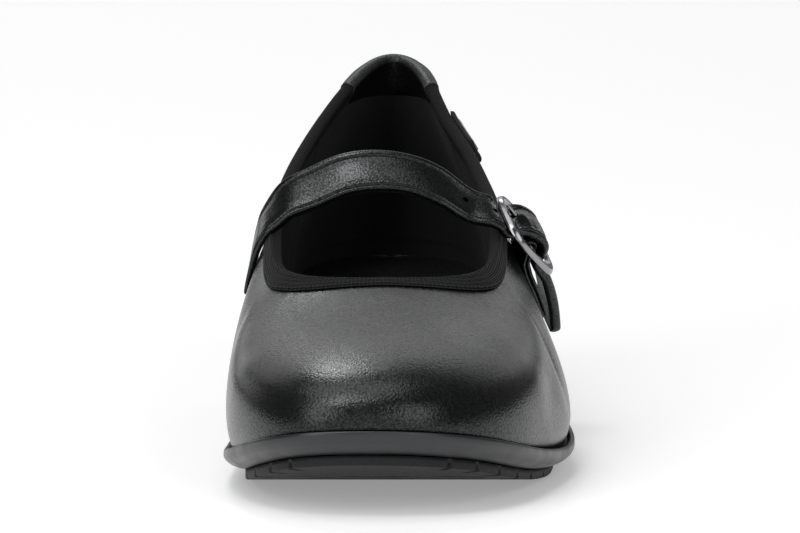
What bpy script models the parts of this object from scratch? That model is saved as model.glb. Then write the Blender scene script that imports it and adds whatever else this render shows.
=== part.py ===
"""Mary Jane ballet flat, left shoe: a hollow upper on a moulded sole, bound topline, strap and buckle.

All tables are in millimetres. d is the distance behind the toe tip, x is positive towards the little-toe
side, z is the height above the floor. The toe points to -Y and the origin is on the floor at the middle
of the box round the whole shoe.
"""

import math

import bpy
import numpy as np

MM = 0.001
MIDDLE_X, MIDDLE_D = 0.013, 130.8    # middle of the whole box, in table coordinates
WALL = 1.6            # upper and lining together
GAP = 0.25            # left between pieces that touch on the real shoe

BAND = 5.2            # height of the midsole's side wall
LIP = 2.6             # how far the midsole stands out beyond the upper
TREAD = 2.7           # forefoot tread, at its edge
TREAD_INSET = 3.3     # tread edge inside the feather line
TREAD_END = 7.7       # loop position where the forefoot tread ends
HEEL_BREAST = (9.25, 9.3, 9.4, 9.45)    # loop position of the heel's front at four heights, top to floor
HEEL_TREAD = 3.6
INSOLE_THICK = 2.3

STATIONS = 76         # round the topline
RISE_STEPS = 11       # from the sole to the topline
SOLE_STEPS = 36       # along each side of the sole pieces
STRAP_STEPS = 78
TAB_STEPS = 16
RING_STEPS = 48
ROUND_STEPS = 12      # round the bar and the prong

# Feather line, where the upper meets the sole: distance d, medial x, lateral x
FEATHER = (
    ("toe_tip", 2.9, -9.0, -9.0),
    ("toe_a", 5.2, -23.5, 7.0),
    ("toe_b", 13.5, -34.0, 20.8),
    ("toe_c", 29.0, -41.2, 31.0),
    ("front", 51.0, -44.9, 38.6),
    ("ball", 76.0, -44.6, 44.2),
    ("joint", 102.0, -41.8, 44.9),
    ("waist", 129.0, -37.0, 41.0),
    ("arch", 157.0, -34.0, 34.2),
    ("seat", 186.0, -32.0, 28.8),
    ("heel", 216.0, -31.4, 26.2),
    ("corner", 243.0, -26.6, 21.4),
    ("back", 258.7, -2.7, -2.7),
)

# Topline: medial d, lateral d, medial x, lateral x, z
TOPLINE = (
    ("throat", 84.0, 84.0, -4.0, -4.0, 52.2),
    ("throat_a", 84.2, 84.4, -13.6, 5.4, 52.1),
    ("throat_b", 86.0, 86.6, -23.0, 14.0, 52.2),
    ("corner_a", 90.5, 91.5, -29.6, 20.6, 52.8),
    ("corner_b", 99.5, 100.5, -33.7, 25.0, 54.6),
    ("side_a", 113.0, 114.0, -34.8, 26.7, 57.6),
    ("side_b", 130.0, 131.0, -34.9, 27.0, 60.9),
    ("side_c", 150.0, 150.0, -34.1, 26.4, 64.0),
    ("side_d", 172.0, 172.0, -31.9, 23.5, 68.4),
    ("side_e", 195.0, 195.0, -27.5, 19.0, 74.3),
    ("side_f", 218.0, 218.0, -20.9, 12.8, 81.6),
    ("side_g", 241.0, 241.0, -11.4, 6.9, 90.1),
    ("back", 250.8, 250.8, -1.9, -1.9, 93.0),
)

# Each rib is a Bezier from feather to topline. For the medial, then the lateral side: rise and outward lean
# at the sole, reach and pitch at the top
RIBS = (
    ("toe_tip", 20.0, 4.0, 44.0, 14.0, 20.0, 4.0, 44.0, 14.0),
    ("toe_a", 20.0, 4.0, 43.0, 15.0, 20.0, 4.0, 43.0, 15.0),
    ("toe_b", 20.0, 7.0, 39.0, 19.0, 20.0, 7.0, 39.0, 19.0),
    ("toe_c", 19.6, 12.9, 29.4, 28.9, 20.4, 12.9, 31.0, 28.1),
    ("front", 15.0, 22.0, 16.5, 47.3, 16.1, 19.6, 22.1, 41.1),
    ("ball", 15.3, 23.0, 15.5, 51.7, 14.4, 27.6, 15.4, 53.0),
    ("joint", 15.1, 23.6, 14.6, 57.4, 11.8, 29.4, 12.6, 59.6),
    ("waist", 14.2, 20.3, 12.7, 66.9, 12.9, 21.3, 13.2, 67.2),
    ("arch", 16.0, 18.0, 16.0, 72.0, 16.0, 18.0, 16.0, 72.0),
    ("seat", 16.0, 16.0, 17.0, 78.0, 16.0, 16.0, 17.0, 78.0),
    ("heel", 17.0, 13.0, 18.0, 80.0, 17.0, 13.0, 18.0, 80.0),
    ("corner", 18.0, 10.0, 20.0, 78.0, 18.0, 10.0, 20.0, 78.0),
    ("back", 19.0, 10.0, 22.0, 77.0, 19.0, 10.0, 22.0, 77.0),
)

# Height of the insole board's seat along the shoe: toe spring, flat ball, heel
SEAT = (
    (0.0, 23.8), (8.0, 21.3), (18.0, 18.4), (30.0, 15.2), (45.0, 11.9), (60.0, 9.6), (74.0, 8.35),
    (88.0, 8.1), (102.0, 8.3), (118.0, 9.9), (138.0, 14.0), (158.0, 19.2), (178.0, 24.0), (198.0, 28.0),
    (218.0, 30.6), (240.0, 32.2), (262.0, 33.2),
)
BALL_SEAT = 8.2

# Strap where it is sewn to the medial side: height up the rib, d, the strap's middle off the surface, and how
# far its width turns away from the surface, in degrees
STRAP_FOOT = (
    ("sewn_end", 0.62, 130.5, 1.3, 0.0), ("quarter", 0.70, 129.8, 1.3, 0.0),
    ("below_binding", 0.78, 129.0, 1.35, 0.0), ("binding_edge", 0.87, 128.3, 2.3, 1.0),
    ("binding", 0.94, 127.8, 2.9, 3.0), ("top_edge", 1.0, 127.3, 3.3, 7.0),
)
# Strap over the instep, middle of its thickness: x, d, z, then its width's tilt from level and its turn
# outwards, in degrees
STRAP = (
    ("shoulder", -34.9, 126.7, 64.4, 26.0, 10.0),
    ("rise", -31.4, 126.0, 68.3, 43.0, 5.0),
    ("arch_a", -24.7, 125.8, 71.7, 51.3, 2.0),
    ("arch_b", -16.3, 126.0, 75.4, 53.1, 0.0),
    ("crown", -6.1, 126.2, 76.8, 50.4, 0.0),
    ("arch_c", 4.8, 126.2, 75.1, 43.9, 0.0),
    ("arch_d", 13.5, 125.8, 70.8, 38.3, 0.0),
    ("fall", 20.0, 125.8, 66.8, 31.8, 0.0),
)
STRAP_WIDTH = 13.2
# The strap's thickness by distance from its sewn end: it is thin where it is sewn down and through the buckle
THICKNESS = ((0.0, 2.0), (14.0, 2.0), (24.0, 2.6), (70.0, 2.6), (92.0, 2.0))
TIP_CORNER = 2.8       # its free end is square with round corners
STRAP_SHIFT = -0.6     # the strap comes in a little low in the ring
# The strap's other end, along and above the plane of the ring: under, over the bar, under, then free
THREADING = (
    (-12.6, -2.3), (-11.0, -2.25), (-9.0, -2.2), (-7.7, -1.3), (-6.7, 0.3), (-5.5, 1.8), (-3.7, 2.9),
    (-1.2, 3.5), (1.2, 3.5), (3.0, 2.9), (4.3, 1.5), (5.0, -0.3), (6.0, -2.0), (8.4, -2.75), (11.8, -2.95),
    (16.1, -4.1), (21.1, -6.1), (27.0, -9.0), (31.8, -11.5),
)

RING_CENTRE = (34.6, 133.0, 58.3)
RING_NORMAL = (0.806, -0.100, 0.583)
RING_ACROSS = (-0.270, 0.820, 0.500)
RING_HALF = 11.9       # half its side: the ring is a square with very round corners
RING_SQUARE = 3.0
# The band's section: share of the way out from the inner edge, height above the ring's plane
BAND_SECTION = ((0.0, -0.7), (0.06, -0.05), (0.35, 1.0), (0.8, 0.95), (1.0, -0.05), (1.0, -0.75), (0.6, -0.9))
BAR_RADIUS = 1.0
BAR_DROP = 0.35
PRONG_RADIUS = 0.7
PRONG_ROOM = 0.45
# The prong's middle, along and above the plane of the ring
PRONG_TIP, PRONG_ROOT = (-14.0, 2.4), (-2.9, 0.6)

TAB_HALF = 6.0
TAB_SPREAD = 1.25      # its foot is wider on the toe side
TAB_THICK = 2.4        # two layers
TAB_THIN = 1.7         # pressed together where they are sewn down
LOOP_THICK = 0.85      # where it wraps the bar
# Middle of the tab, along and above the plane of the ring, from the bar down the quarter
TAB_PATH = (
    (1.2, -1.6), (2.6, -3.0), (4.0, -4.05), (6.0, -4.8), (8.0, -5.3), (10.0, -5.8), (12.0, -6.4),
    (14.0, -7.1), (16.0, -7.85), (18.0, -8.6), (20.0, -9.4), (22.0, -10.25),
)

BINDING_LEG = 3.6
CORNER_LEG = 4.2       # how much deeper the binding is at the throat's corners
CORNER_AT, CORNER_SPREAD = 2.65, 1.35    # in loop position
BINDING_THICK = 0.8
COLLAR_FROM = 10.75    # loop position where the leather collar takes over from the binding
COLLAR_LEG = 10.0
COLLAR_THICK = 1.15
SIDE_TAB_FROM, SIDE_TAB_TO = 9.15, 9.95  # loop positions
# The side tab's outer face, then its inner one: distance above the edge, and off the binding
SIDE_TAB_OUTER = ((-6.5, 1.7), (-5.4, 2.6), (-3.0, 1.95), (0.2, 1.3), (0.6, 0.5))
SIDE_TAB_INNER = ((-6.5, 0.95), (-5.4, 0.95), (-3.0, 0.3), (0.2, 0.0), (0.6, 0.0))

# Gaps between the blocks round the tread's edge: loop position on the medial and the lateral side, and width
NOTCHES = (
    (1.75, 1.55, 2.2), (2.45, 2.2, 2.0), (3.15, 2.85, 2.0), (3.75, 3.45, 2.0), (4.3, 4.0, 2.0),
    (4.85, 4.55, 2.0),
)
NOTCH_RISE = 1.7       # how far up they go
NOTCH_REACH = 2.4      # how far in from the tread's edge

BACK = len(FEATHER) - 1
AROUND = 2 * BACK


def numbers(table):
    return np.array([[v for v in row if not isinstance(v, str)] for row in table], float)


def smooth(knots, values, at):
    """Natural cubic spline through the knots."""
    knots, values = np.asarray(knots, float), np.asarray(values, float)
    h = np.diff(knots)
    size = len(knots)
    system, right = np.eye(size), np.zeros((size,) + values.shape[1:])
    for i in range(1, size - 1):
        system[i, i - 1:i + 2] = h[i - 1], 2 * (h[i - 1] + h[i]), h[i]
        right[i] = 6 * ((values[i + 1] - values[i]) / h[i] - (values[i] - values[i - 1]) / h[i - 1])
    bend = np.linalg.solve(system, right)
    at = np.clip(np.asarray(at, float), knots[0], knots[-1])
    i = np.clip(np.searchsorted(knots, at) - 1, 0, size - 2)
    wide = (slice(None),) + (None,) * (values.ndim - 1)
    a, b, s = (knots[i + 1] - at)[wide], (at - knots[i])[wide], h[i][wide]
    return ((bend[i] * a**3 + bend[i + 1] * b**3) / (6 * s)
            + (values[i] / s - bend[i] * s / 6) * a + (values[i + 1] / s - bend[i + 1] * s / 6) * b)


def around(values, u):
    """Closed cubic spline: values at whole numbers of u, running toe, medial side, heel, lateral side."""
    count = len(values)
    rows = np.arange(count)
    system = np.zeros((count, count))
    system[rows, rows] = 4
    system[rows, (rows + 1) % count] = 1
    system[rows, (rows - 1) % count] = 1
    weights = np.linalg.solve(system / 6, values)
    i = np.floor(u).astype(int)
    t = u - i
    basis = ((1 - t)**3, 3 * t**3 - 6 * t**2 + 4, -3 * t**3 + 3 * t**2 + 3 * t + 1, t**3)
    return sum(b[..., None] * weights[(i + k - 1) % count] for k, b in enumerate(basis)) / 6


def both_sides(medial, lateral):
    return np.concatenate([medial, lateral[-2:0:-1]])


def ease(x, low, high):
    """0 below low, 1 above high, a smooth S between them."""
    t = np.clip((x - low) / (high - low), 0, 1)
    return t * t * (3 - 2 * t)


def seat(d):
    """Height of the seat. It is level under the ball, where the tread meets the floor."""
    return np.maximum(smooth(*np.array(SEAT).T, np.ravel(d)).reshape(np.shape(d)), BALL_SEAT)


def feather(u):
    rows = numbers(FEATHER)
    loop = around(both_sides(rows[:, [1, 0]], rows[:, [2, 0]]), u)
    return np.concatenate([loop, seat(loop[..., 1])[..., None] + GAP], axis=-1)


def topline(u):
    rows = numbers(TOPLINE)
    return around(both_sides(rows[:, [2, 0, 4]], rows[:, [3, 1, 4]]), u)


def unit(v):
    return v / np.linalg.norm(v, axis=-1, keepdims=True)


def outward(curve, u):
    """Plan direction pointing out of the loop."""
    ahead = curve(u + 0.02) - curve(u - 0.02)
    return unit(np.stack([-ahead[..., 1], ahead[..., 0]], axis=-1))


def skin(u, v, off=0.0):
    """Point of the upper: u goes round, v goes from the sole (0) to the topline (1), off is outwards."""
    def at(u, v):
        rows = numbers(RIBS)
        rise, lean, reach, pitch = np.moveaxis(around(both_sides(rows[:, :4], rows[:, 4:]), u), -1, 0)
        low, high = feather(u), topline(u)
        lean, pitch = np.radians(lean), np.radians(pitch)
        low_out, high_out = outward(feather, u), outward(topline, u)
        up = np.concatenate([low_out * np.sin(lean)[..., None], np.cos(lean)[..., None]], axis=-1)
        down = np.concatenate([high_out * np.cos(pitch)[..., None], -np.sin(pitch)[..., None]], axis=-1)
        second, third = low + rise[..., None] * up, high + reach[..., None] * down
        v = v[..., None]
        return (1 - v)**3 * low + 3 * v * (1 - v)**2 * second + 3 * v**2 * (1 - v) * third + v**3 * high

    u, v, off = np.broadcast_arrays(np.asarray(u, float), np.asarray(v, float), np.asarray(off, float))
    across = at(u + 0.03, v) - at(u - 0.03, v)
    along = at(u, v + 0.01) - at(u, v - 0.01)
    normal = unit(np.cross(across, along))
    return at(u, v) - normal * off[..., None]


def rim(u, along, off):
    """Point near the topline: a distance along the rib above (or below) the edge, and off the surface."""
    one = np.ones_like(u)
    step = skin(u, one) - skin(u, one - 0.02)
    length = np.linalg.norm(step, axis=-1) / 0.02
    v = 1 + np.minimum(along, 0) / length
    return skin(u, v, off) + unit(step) * np.maximum(along, 0)[..., None]


def placed(points):
    """Table coordinates (x, d, z) in millimetres to the scene's metres."""
    points = np.asarray(points, float)
    return np.stack([points[..., 0] - MIDDLE_X, points[..., 1] - MIDDLE_D, points[..., 2]], axis=-1) * MM


def paint(piece, name, colour, roughness, metallic=0.0):
    material = bpy.data.materials.new(name)
    material.use_nodes = True
    shader = material.node_tree.nodes["Principled BSDF"]
    shader.inputs["Base Color"].default_value = (*colour, 1)
    shader.inputs["Roughness"].default_value = roughness
    shader.inputs["Metallic"].default_value = metallic
    piece.data.materials.append(material)


def solid(name, points, faces, colour, roughness, metallic=0.0, helper=False):
    """A mesh object from table coordinates, turned so that its faces point out."""
    points = placed(points)
    volume = 0.0
    for face in faces:
        for i in range(1, len(face) - 1):
            volume += np.dot(points[face[0]], np.cross(points[face[i]], points[face[i + 1]]))
    if volume < 0:
        faces = [tuple(reversed(face)) for face in faces]
    mesh = bpy.data.meshes.new(name)
    mesh.from_pydata(points.tolist(), [], [tuple(int(i) for i in face) for face in faces])
    mesh.update()
    piece = bpy.data.objects.new(name, mesh)
    (helpers if helper else shoe).objects.link(piece)
    piece.hide_render = helper
    if helper:
        piece.display_type = "WIRE"
    paint(piece, name, colour, roughness, metallic)
    return piece


def combine(piece, helper, operation):
    change = piece.modifiers.new(helper.name, "BOOLEAN")
    change.operation = operation
    change.object = helper
    change.solver = "EXACT"


def shell(outer, inner, loop):
    """Closed surface between two grids of points [station, across]; loop joins the last station to the first."""
    count, wide = outer.shape[:2]
    points = np.concatenate([outer.reshape(-1, 3), inner.reshape(-1, 3)])
    first = np.arange(count * wide).reshape(count, wide)
    second = first + count * wide
    faces = []
    for i in range(count if loop else count - 1):
        k = (i + 1) % count
        for j in range(wide - 1):
            faces.append((first[i, j], first[k, j], first[k, j + 1], first[i, j + 1]))
            faces.append((second[i, j + 1], second[k, j + 1], second[k, j], second[i, j]))
        faces.append((second[i, 0], second[k, 0], first[k, 0], first[i, 0]))
        faces.append((first[i, -1], first[k, -1], second[k, -1], second[i, -1]))
    if not loop:
        for j in range(wide - 1):
            faces.append((first[0, j], first[0, j + 1], second[0, j + 1], second[0, j]))
            faces.append((second[-1, j], second[-1, j + 1], first[-1, j + 1], first[-1, j]))
    return points, faces


def layered(levels, begin, end):
    """Closed surface from stacked outlines: each level gives its points at positions u on the medial side.

    levels lists functions of the loop position, and begin and end say which medial positions each covers.
    The lateral side mirrors them, and where one is 0 or BACK the two sides share the point.
    """
    points, rings = [], []
    for level, first, last in zip(levels, begin, end):
        u = first + (last - first) * np.linspace(0, 1, SOLE_STEPS)
        medial, lateral = level(u), level(AROUND - u)
        keep = slice(1 if first == 0 else 0, -1 if last == BACK else None)
        start = len(points)
        points.extend(medial)
        left = list(range(start, start + SOLE_STEPS))
        extra = list(range(start + SOLE_STEPS, start + SOLE_STEPS + len(lateral[keep])))
        points.extend(lateral[keep])
        right = ([left[0]] if first == 0 else []) + extra + ([left[-1]] if last == BACK else [])
        rings.append((left, right))
    faces = []
    for (l0, r0), (l1, r1) in zip(rings, rings[1:]):
        ring0 = l0 + [i for i in reversed(r0) if i not in (l0[0], l0[-1])]
        ring1 = l1 + [i for i in reversed(r1) if i not in (l1[0], l1[-1])]
        for i in range(len(ring0)):
            k = (i + 1) % len(ring0)
            faces.append((ring0[i], ring0[k], ring1[k], ring1[i]))
    for (left, right), turn in ((rings[0], False), (rings[-1], True)):
        for i in range(SOLE_STEPS - 1):
            face = []
            for index in (left[i], left[i + 1], right[i + 1], right[i]):
                if index not in face:
                    face.append(index)
            faces.append(tuple(face) if turn else tuple(reversed(face)))
    return np.array(points), faces


def outline(off, height):
    """Level of a sole piece: the feather line moved outwards, at a height that depends on d."""
    def level(u):
        base = feather(u)[..., :2] + outward(feather, u) * off
        return np.concatenate([base, height(base[..., 1])[..., None]], axis=-1)
    return level


def below_seat(drop):
    return lambda d: seat(d) - drop


def above_seat(rise):
    return lambda d: seat(d) + rise


def flat(z):
    return lambda d: z + 0 * d


def tread_floor(d):
    """Underside of the forefoot tread: on the floor under the ball, up with the toe, thinner at the waist."""
    return seat(d) - BALL_SEAT + (TREAD - 1.2) * np.clip((d - 112.0) / 34.0, 0, 1)**2


def make_midsole():
    profile = ((0.5, 0.0), (LIP - 1.3, -0.25), (LIP - 0.3, -0.1), (LIP, 0.6), (LIP, 2.0), (LIP - 0.7, 3.1),
               (LIP - 2.1, 4.2), (LIP - 3.9, 4.95), (-2.4, BAND))
    levels = [outline(off, below_seat(drop)) for off, drop in profile]
    count = len(levels)
    solid("midsole", *layered(levels, [0] * count, [BACK] * count), (0.03, 0.03, 0.032), 0.45)


def make_forefoot_tread():
    levels = [outline(-TREAD_INSET, below_seat(BAND + 0.3)),
              outline(-TREAD_INSET, lambda d: tread_floor(d) + 0.5), outline(-TREAD_INSET - 0.5, tread_floor)]
    tread = solid("forefoot_tread", *layered(levels, [0] * 3, [TREAD_END] * 3), (0.02, 0.02, 0.02), 0.8)
    combine(tread, notches(), "DIFFERENCE")


def notches():
    """Boxes that cut the gaps out of the tread's edge."""
    points, faces = [], []
    for medial, lateral, wide in NOTCHES:
        for u in (medial, AROUND - lateral):
            base, away = feather(np.array([u]))[0], outward(feather, np.array([u]))[0]
            side = np.array([-away[1], away[0]])
            a = len(points)
            for z in (tread_floor(base[1]) - 2.0, tread_floor(base[1]) + NOTCH_RISE):
                for reach, half in ((-TREAD_INSET - NOTCH_REACH, -wide / 2), (-TREAD_INSET - NOTCH_REACH, wide / 2),
                                    (2.0, wide / 2), (2.0, -wide / 2)):
                    points.append((*(base[:2] + away * reach + side * half), z))
            faces += [(a, a + 1, a + 2, a + 3), (a + 7, a + 6, a + 5, a + 4), (a, a + 4, a + 5, a + 1),
                      (a + 1, a + 5, a + 6, a + 2), (a + 2, a + 6, a + 7, a + 3), (a + 3, a + 7, a + 4, a)]
    # faces of every box run the same way round, so one volume sign turns them all
    return solid("notch_cutter", np.array(points), faces, (0.5, 0.5, 0.5), 0.5, helper=True)


def make_heel():
    levels = [outline(0.4, below_seat(BAND + 0.3)), outline(-0.3, flat(17.0)), outline(-1.6, flat(8.0)),
              outline(-2.2, flat(HEEL_TREAD + 0.3))]
    solid("heel_block", *layered(levels, HEEL_BREAST, [BACK] * 4), (0.03, 0.03, 0.032), 0.4)
    levels = [outline(-2.2, flat(HEEL_TREAD)), outline(-2.4, flat(0.5)), outline(-2.9, flat(0.0))]
    solid("heel_tread", *layered(levels, [HEEL_BREAST[-1]] * 3, [BACK] * 3), (0.02, 0.02, 0.02), 0.8)


def make_insole():
    inset = WALL + 0.9
    levels = [outline(-inset, above_seat(GAP)), outline(-inset, above_seat(INSOLE_THICK - 0.7)),
              outline(-inset - 0.8, above_seat(INSOLE_THICK))]
    solid("insole", *layered(levels, [0] * 3, [BACK] * 3), (0.02, 0.02, 0.022), 0.7)


def make_upper():
    u, v = np.meshgrid(np.arange(STATIONS) * AROUND / STATIONS, np.linspace(0, 1, RISE_STEPS), indexing="ij")
    outer, inner = skin(u, v), skin(u, v, -WALL)
    inner[:, 0, 2] = np.maximum(inner[:, 0, 2], seat(inner[:, 0, 1]) + GAP)
    solid("upper", *shell(outer, inner, True), (0.012, 0.012, 0.013), 0.35)


def edging(u, leg, lining, thick):
    """A folded band over the upper's edge: its outer leg, its fold and its inner leg, as one U section."""
    near, far = GAP, GAP + thick
    back_near, back_far = -WALL - GAP, -WALL - GAP - thick
    outer = ((-1.0, far - 0.25), (-0.5, far), (0.0, far), (0.8, far - 0.8),
             (0.8, back_far + 0.8), (0.0, back_far), (-0.5, back_far), (-1.0, back_far))
    inner = ((-1.0, near), (-0.5, near), (0.0, near), (0.12, near - 0.4),
             (0.12, back_near + 0.4), (0.0, back_near), (-0.5, back_near), (-1.0, back_near))

    def grid(section):
        rows = []
        for k, (along, off) in enumerate(section):
            reach = leg if k < 3 else lining
            distance = along * reach if along < 0 else np.full_like(u, 0.25 + along)
            rows.append(rim(u, distance, np.full_like(u, off)))
        return np.stack(rows, axis=1)

    return shell(grid(outer), grid(inner), False)


def make_binding():
    u = np.arange(STATIONS) * AROUND / STATIONS
    u = np.where(u > BACK, u - AROUND, u)
    u = np.sort(u[np.abs(u) <= COLLAR_FROM])
    leg = BINDING_LEG + CORNER_LEG * np.exp(-((np.abs(u) - CORNER_AT) / CORNER_SPREAD)**2)
    solid("topline_binding", *edging(u, leg, leg, BINDING_THICK), (0.02, 0.02, 0.022), 0.75)


def make_collar():
    """Folded over the edge like the binding. It is deepest at the back and both its ends taper."""
    pitch = AROUND / STATIONS
    u = np.arange(STATIONS) * pitch
    u = u[np.abs(u - BACK) <= BACK - COLLAR_FROM]
    u = np.concatenate([[u[0] - 0.5 * pitch], u, [u[-1] + 0.5 * pitch]])
    rise = np.cos((u - BACK) / (u[-1] - BACK) * math.pi / 2 * 0.98)
    leg = BINDING_LEG + 0.8 + (COLLAR_LEG - BINDING_LEG) * rise
    solid("heel_collar", *edging(u, leg, leg, COLLAR_THICK), (0.012, 0.012, 0.013), 0.3)


def ring_point(along, across, above):
    """Point in the buckle's own directions: along the strap, across it and out of the ring's plane."""
    normal, width = unit(np.array(RING_NORMAL)), np.array(RING_ACROSS)
    width = unit(width - normal * np.dot(width, normal))
    length = np.cross(width, normal)
    length = length * np.sign(-length[2])
    parts = np.broadcast_arrays(*(np.asarray(p, float) for p in (along, across, above)))
    return np.array(RING_CENTRE) + sum(p[..., None] * axis for p, axis in zip(parts, (length, width, normal)))


def resampled(points, places):
    """Smooth curve through points, at places given as functions of its whole length, and the distances there."""
    steps = np.concatenate([[0], np.cumsum(np.linalg.norm(np.diff(points[:, :3], axis=0), axis=1))])
    run = places(steps[-1])
    return smooth(steps, points, run), run


def ribbon(path, width_axis, half, thick, rounded):
    """Strip of leather along a path of points: returns its outer and inner grids."""
    tangent = unit(np.gradient(path, axis=0))
    across = unit(width_axis - tangent * np.sum(width_axis * tangent, axis=1, keepdims=True))
    normal = np.cross(tangent, across)
    side = np.array([-1, -0.88, 0, 0.88, 1])
    lift = thick[:, None] / 2 - rounded[:, None] * np.array([1, 0, 0, 0, 1])
    spread = across[:, None] * (side[None, :, None] * half[:, None, None])
    rise = normal[:, None] * lift[..., None]
    return path[:, None] + spread + rise, path[:, None] + spread - rise


def strap_path():
    """The strap's middle line, the direction of its width there, and the distance from its sewn end."""
    height, behind, lift, turn = numbers(STRAP_FOOT).T
    line = np.linspace(4.0, 9.0, 101)
    u = np.array([np.interp(d, skin(line, v)[:, 1], line) for v, d in zip(height, behind)])
    turn = np.radians(turn)[:, None]
    foot, level = skin(u, height, lift), unit(skin(u + 0.2, height) - skin(u - 0.2, height))
    foot_axes = np.cos(turn) * level + np.sin(turn) * (skin(u, height, lift + 1.0) - foot)
    arch = numbers(STRAP)
    tilt, turn = np.radians(arch[:, 3:]).T
    arch_axes = np.stack([-np.sin(turn), np.cos(turn) * np.cos(tilt), np.cos(turn) * np.sin(tilt)], axis=1)
    threading = np.array(THREADING)
    shift = np.interp(threading[:, 0], (-12.8, 6.0), (STRAP_SHIFT, 0))
    tail = ring_point(threading[:, 0], shift, threading[:, 1])
    points = np.concatenate([foot, arch[:, :3], tail])
    axes = np.concatenate([foot_axes, arch_axes, np.tile(np.array(RING_ACROSS), (len(tail), 1))])
    corners = np.array([0.0, 0.4, 1.1, 1.9])[::-1]
    both, run = resampled(np.concatenate([points, axes], axis=1), lambda whole: np.concatenate(
        [np.linspace(0, whole - TIP_CORNER, STRAP_STEPS - len(corners)), whole - corners]))
    return both[:, :3], both[:, 3:], run


def make_strap():
    path, axes, run = strap_path()
    left = run[-1] - run
    corner = np.sqrt(1 - np.clip(1 - left / TIP_CORNER, 0, 1)**2)
    half = STRAP_WIDTH / 2 - TIP_CORNER * (1 - corner)
    thick = np.interp(run, *zip(*THICKNESS))
    rounded = np.interp(run, (70.0, 92.0), (0.35, 0.7))
    strap = solid("strap", *shell(*ribbon(path, axes, half, thick, rounded), False), (0.012, 0.012, 0.013), 0.35)
    combine(strap, rod("prong_hole", PRONG_RADIUS + PRONG_ROOM, -10.5, -1.6, helper=True), "DIFFERENCE")


def rod(name, radius, first, last, helper=False):
    """Round rod along the prong's line, which lies from the bar over the upper side of the ring's band."""
    def height(along):
        return np.interp(along, *zip(PRONG_TIP, PRONG_ROOT))

    angle = np.arange(ROUND_STEPS) / ROUND_STEPS * 2 * math.pi
    slope = math.atan2(height(last) - height(first), last - first)
    rings = [ring_point(a - np.sin(angle) * radius * math.sin(slope), np.cos(angle) * radius,
                        height(a) + np.sin(angle) * radius * math.cos(slope)) for a in np.linspace(first, last, 5)]
    return solid(name, *capped(np.array(rings)), (0.55, 0.55, 0.57), 0.25, 1.0, helper)


def capped(rings):
    """Closed surface through a row of rings, with a flat face at each end."""
    count, sides = rings.shape[:2]
    index = np.arange(count * sides).reshape(count, sides)
    faces = [tuple(index[0]), tuple(reversed(index[-1]))]
    for i in range(count - 1):
        for j in range(sides):
            k = (j + 1) % sides
            faces.append((index[i, j], index[i + 1, j], index[i + 1, k], index[i, k]))
    return rings.reshape(-1, 3), faces


def make_buckle():
    turn = np.arange(RING_STEPS) / RING_STEPS * 2 * math.pi
    # the band is narrow where the strap comes in and wide where it leaves
    wide = 2.8 - 0.9 * np.cos(turn)
    half = RING_HALF - 0.35 * (1 + np.sin(turn))
    squareness = (np.abs(np.cos(turn))**RING_SQUARE + np.abs(np.sin(turn))**RING_SQUARE)**(-1 / RING_SQUARE)
    rings = []
    for share, height in BAND_SECTION:
        radius = (half - wide * (1 - share)) * squareness
        rings.append(ring_point(-np.cos(turn) * radius, np.sin(turn) * radius, height))
    index = np.arange(len(rings) * RING_STEPS).reshape(len(rings), RING_STEPS)
    faces = []
    for i in range(len(rings)):
        for j in range(RING_STEPS):
            a, b = (i + 1) % len(rings), (j + 1) % RING_STEPS
            faces.append((index[i, j], index[a, j], index[a, b], index[i, b]))
    ring = solid("buckle_ring", np.concatenate(rings), faces, (0.5, 0.5, 0.52), 0.22, 1.0)
    angle = np.arange(ROUND_STEPS) / ROUND_STEPS * 2 * math.pi
    reach = RING_HALF - 2.0
    bar = np.array([ring_point(np.cos(angle) * BAR_RADIUS, w, np.sin(angle) * BAR_RADIUS - BAR_DROP)
                    for w in (-reach, 0.0, reach)])
    combine(ring, solid("bar_shape", *capped(bar), (0.5, 0.5, 0.52), 0.25, 1.0, helper=True), "UNION")
    rod("buckle_prong", PRONG_RADIUS, -12.6, -3.0)


def make_tab():
    """Leather folded round the bar: both layers are one solid, with a loop at its upper end."""
    line, _ = resampled(np.insert(np.array(TAB_PATH), 1, 0.0, axis=1), lambda whole: np.linspace(0, whole, TAB_STEPS))
    spread = TAB_SPREAD * ease(line[:, 0], 5.0, 13.0)
    path = ring_point(line[:, 0], -spread, line[:, 2])
    axes = np.tile(np.array(RING_ACROSS), (TAB_STEPS, 1))
    thick = np.interp(line[:, 0], (12.0, 22.0), (TAB_THICK, TAB_THIN))
    grids = ribbon(path, axes, TAB_HALF + spread, thick, np.full(TAB_STEPS, 0.2))
    tab = solid("buckle_tab", *shell(*grids, False), (0.012, 0.012, 0.013), 0.4)
    turn = np.arange(20) / 20 * 2 * math.pi
    inner, outer = [np.stack([ring_point(np.cos(turn) * radius, w, np.sin(turn) * radius - BAR_DROP)
                              for w in (-TAB_HALF, TAB_HALF)], axis=1)
                    for radius in (BAR_RADIUS + 0.3, BAR_RADIUS + 0.3 + LOOP_THICK)]
    combine(tab, solid("tab_loop", *shell(outer, inner, True), (0.02, 0.02, 0.02), 0.6, helper=True), "UNION")


def make_side_tab():
    """Small plain tab on the lateral topline, in front of the heel. Its lower end stands out."""
    u = AROUND - np.linspace(SIDE_TAB_FROM, SIDE_TAB_TO, 6)
    one = np.ones_like(u)
    outer, inner = [np.stack([rim(u, one * along, one * (2 * GAP + BINDING_THICK + off)) for along, off in face], axis=1)
                    for face in (SIDE_TAB_OUTER, SIDE_TAB_INNER)]
    solid("side_tab", *shell(outer, inner, False), (0.02, 0.02, 0.022), 0.4)


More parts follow.
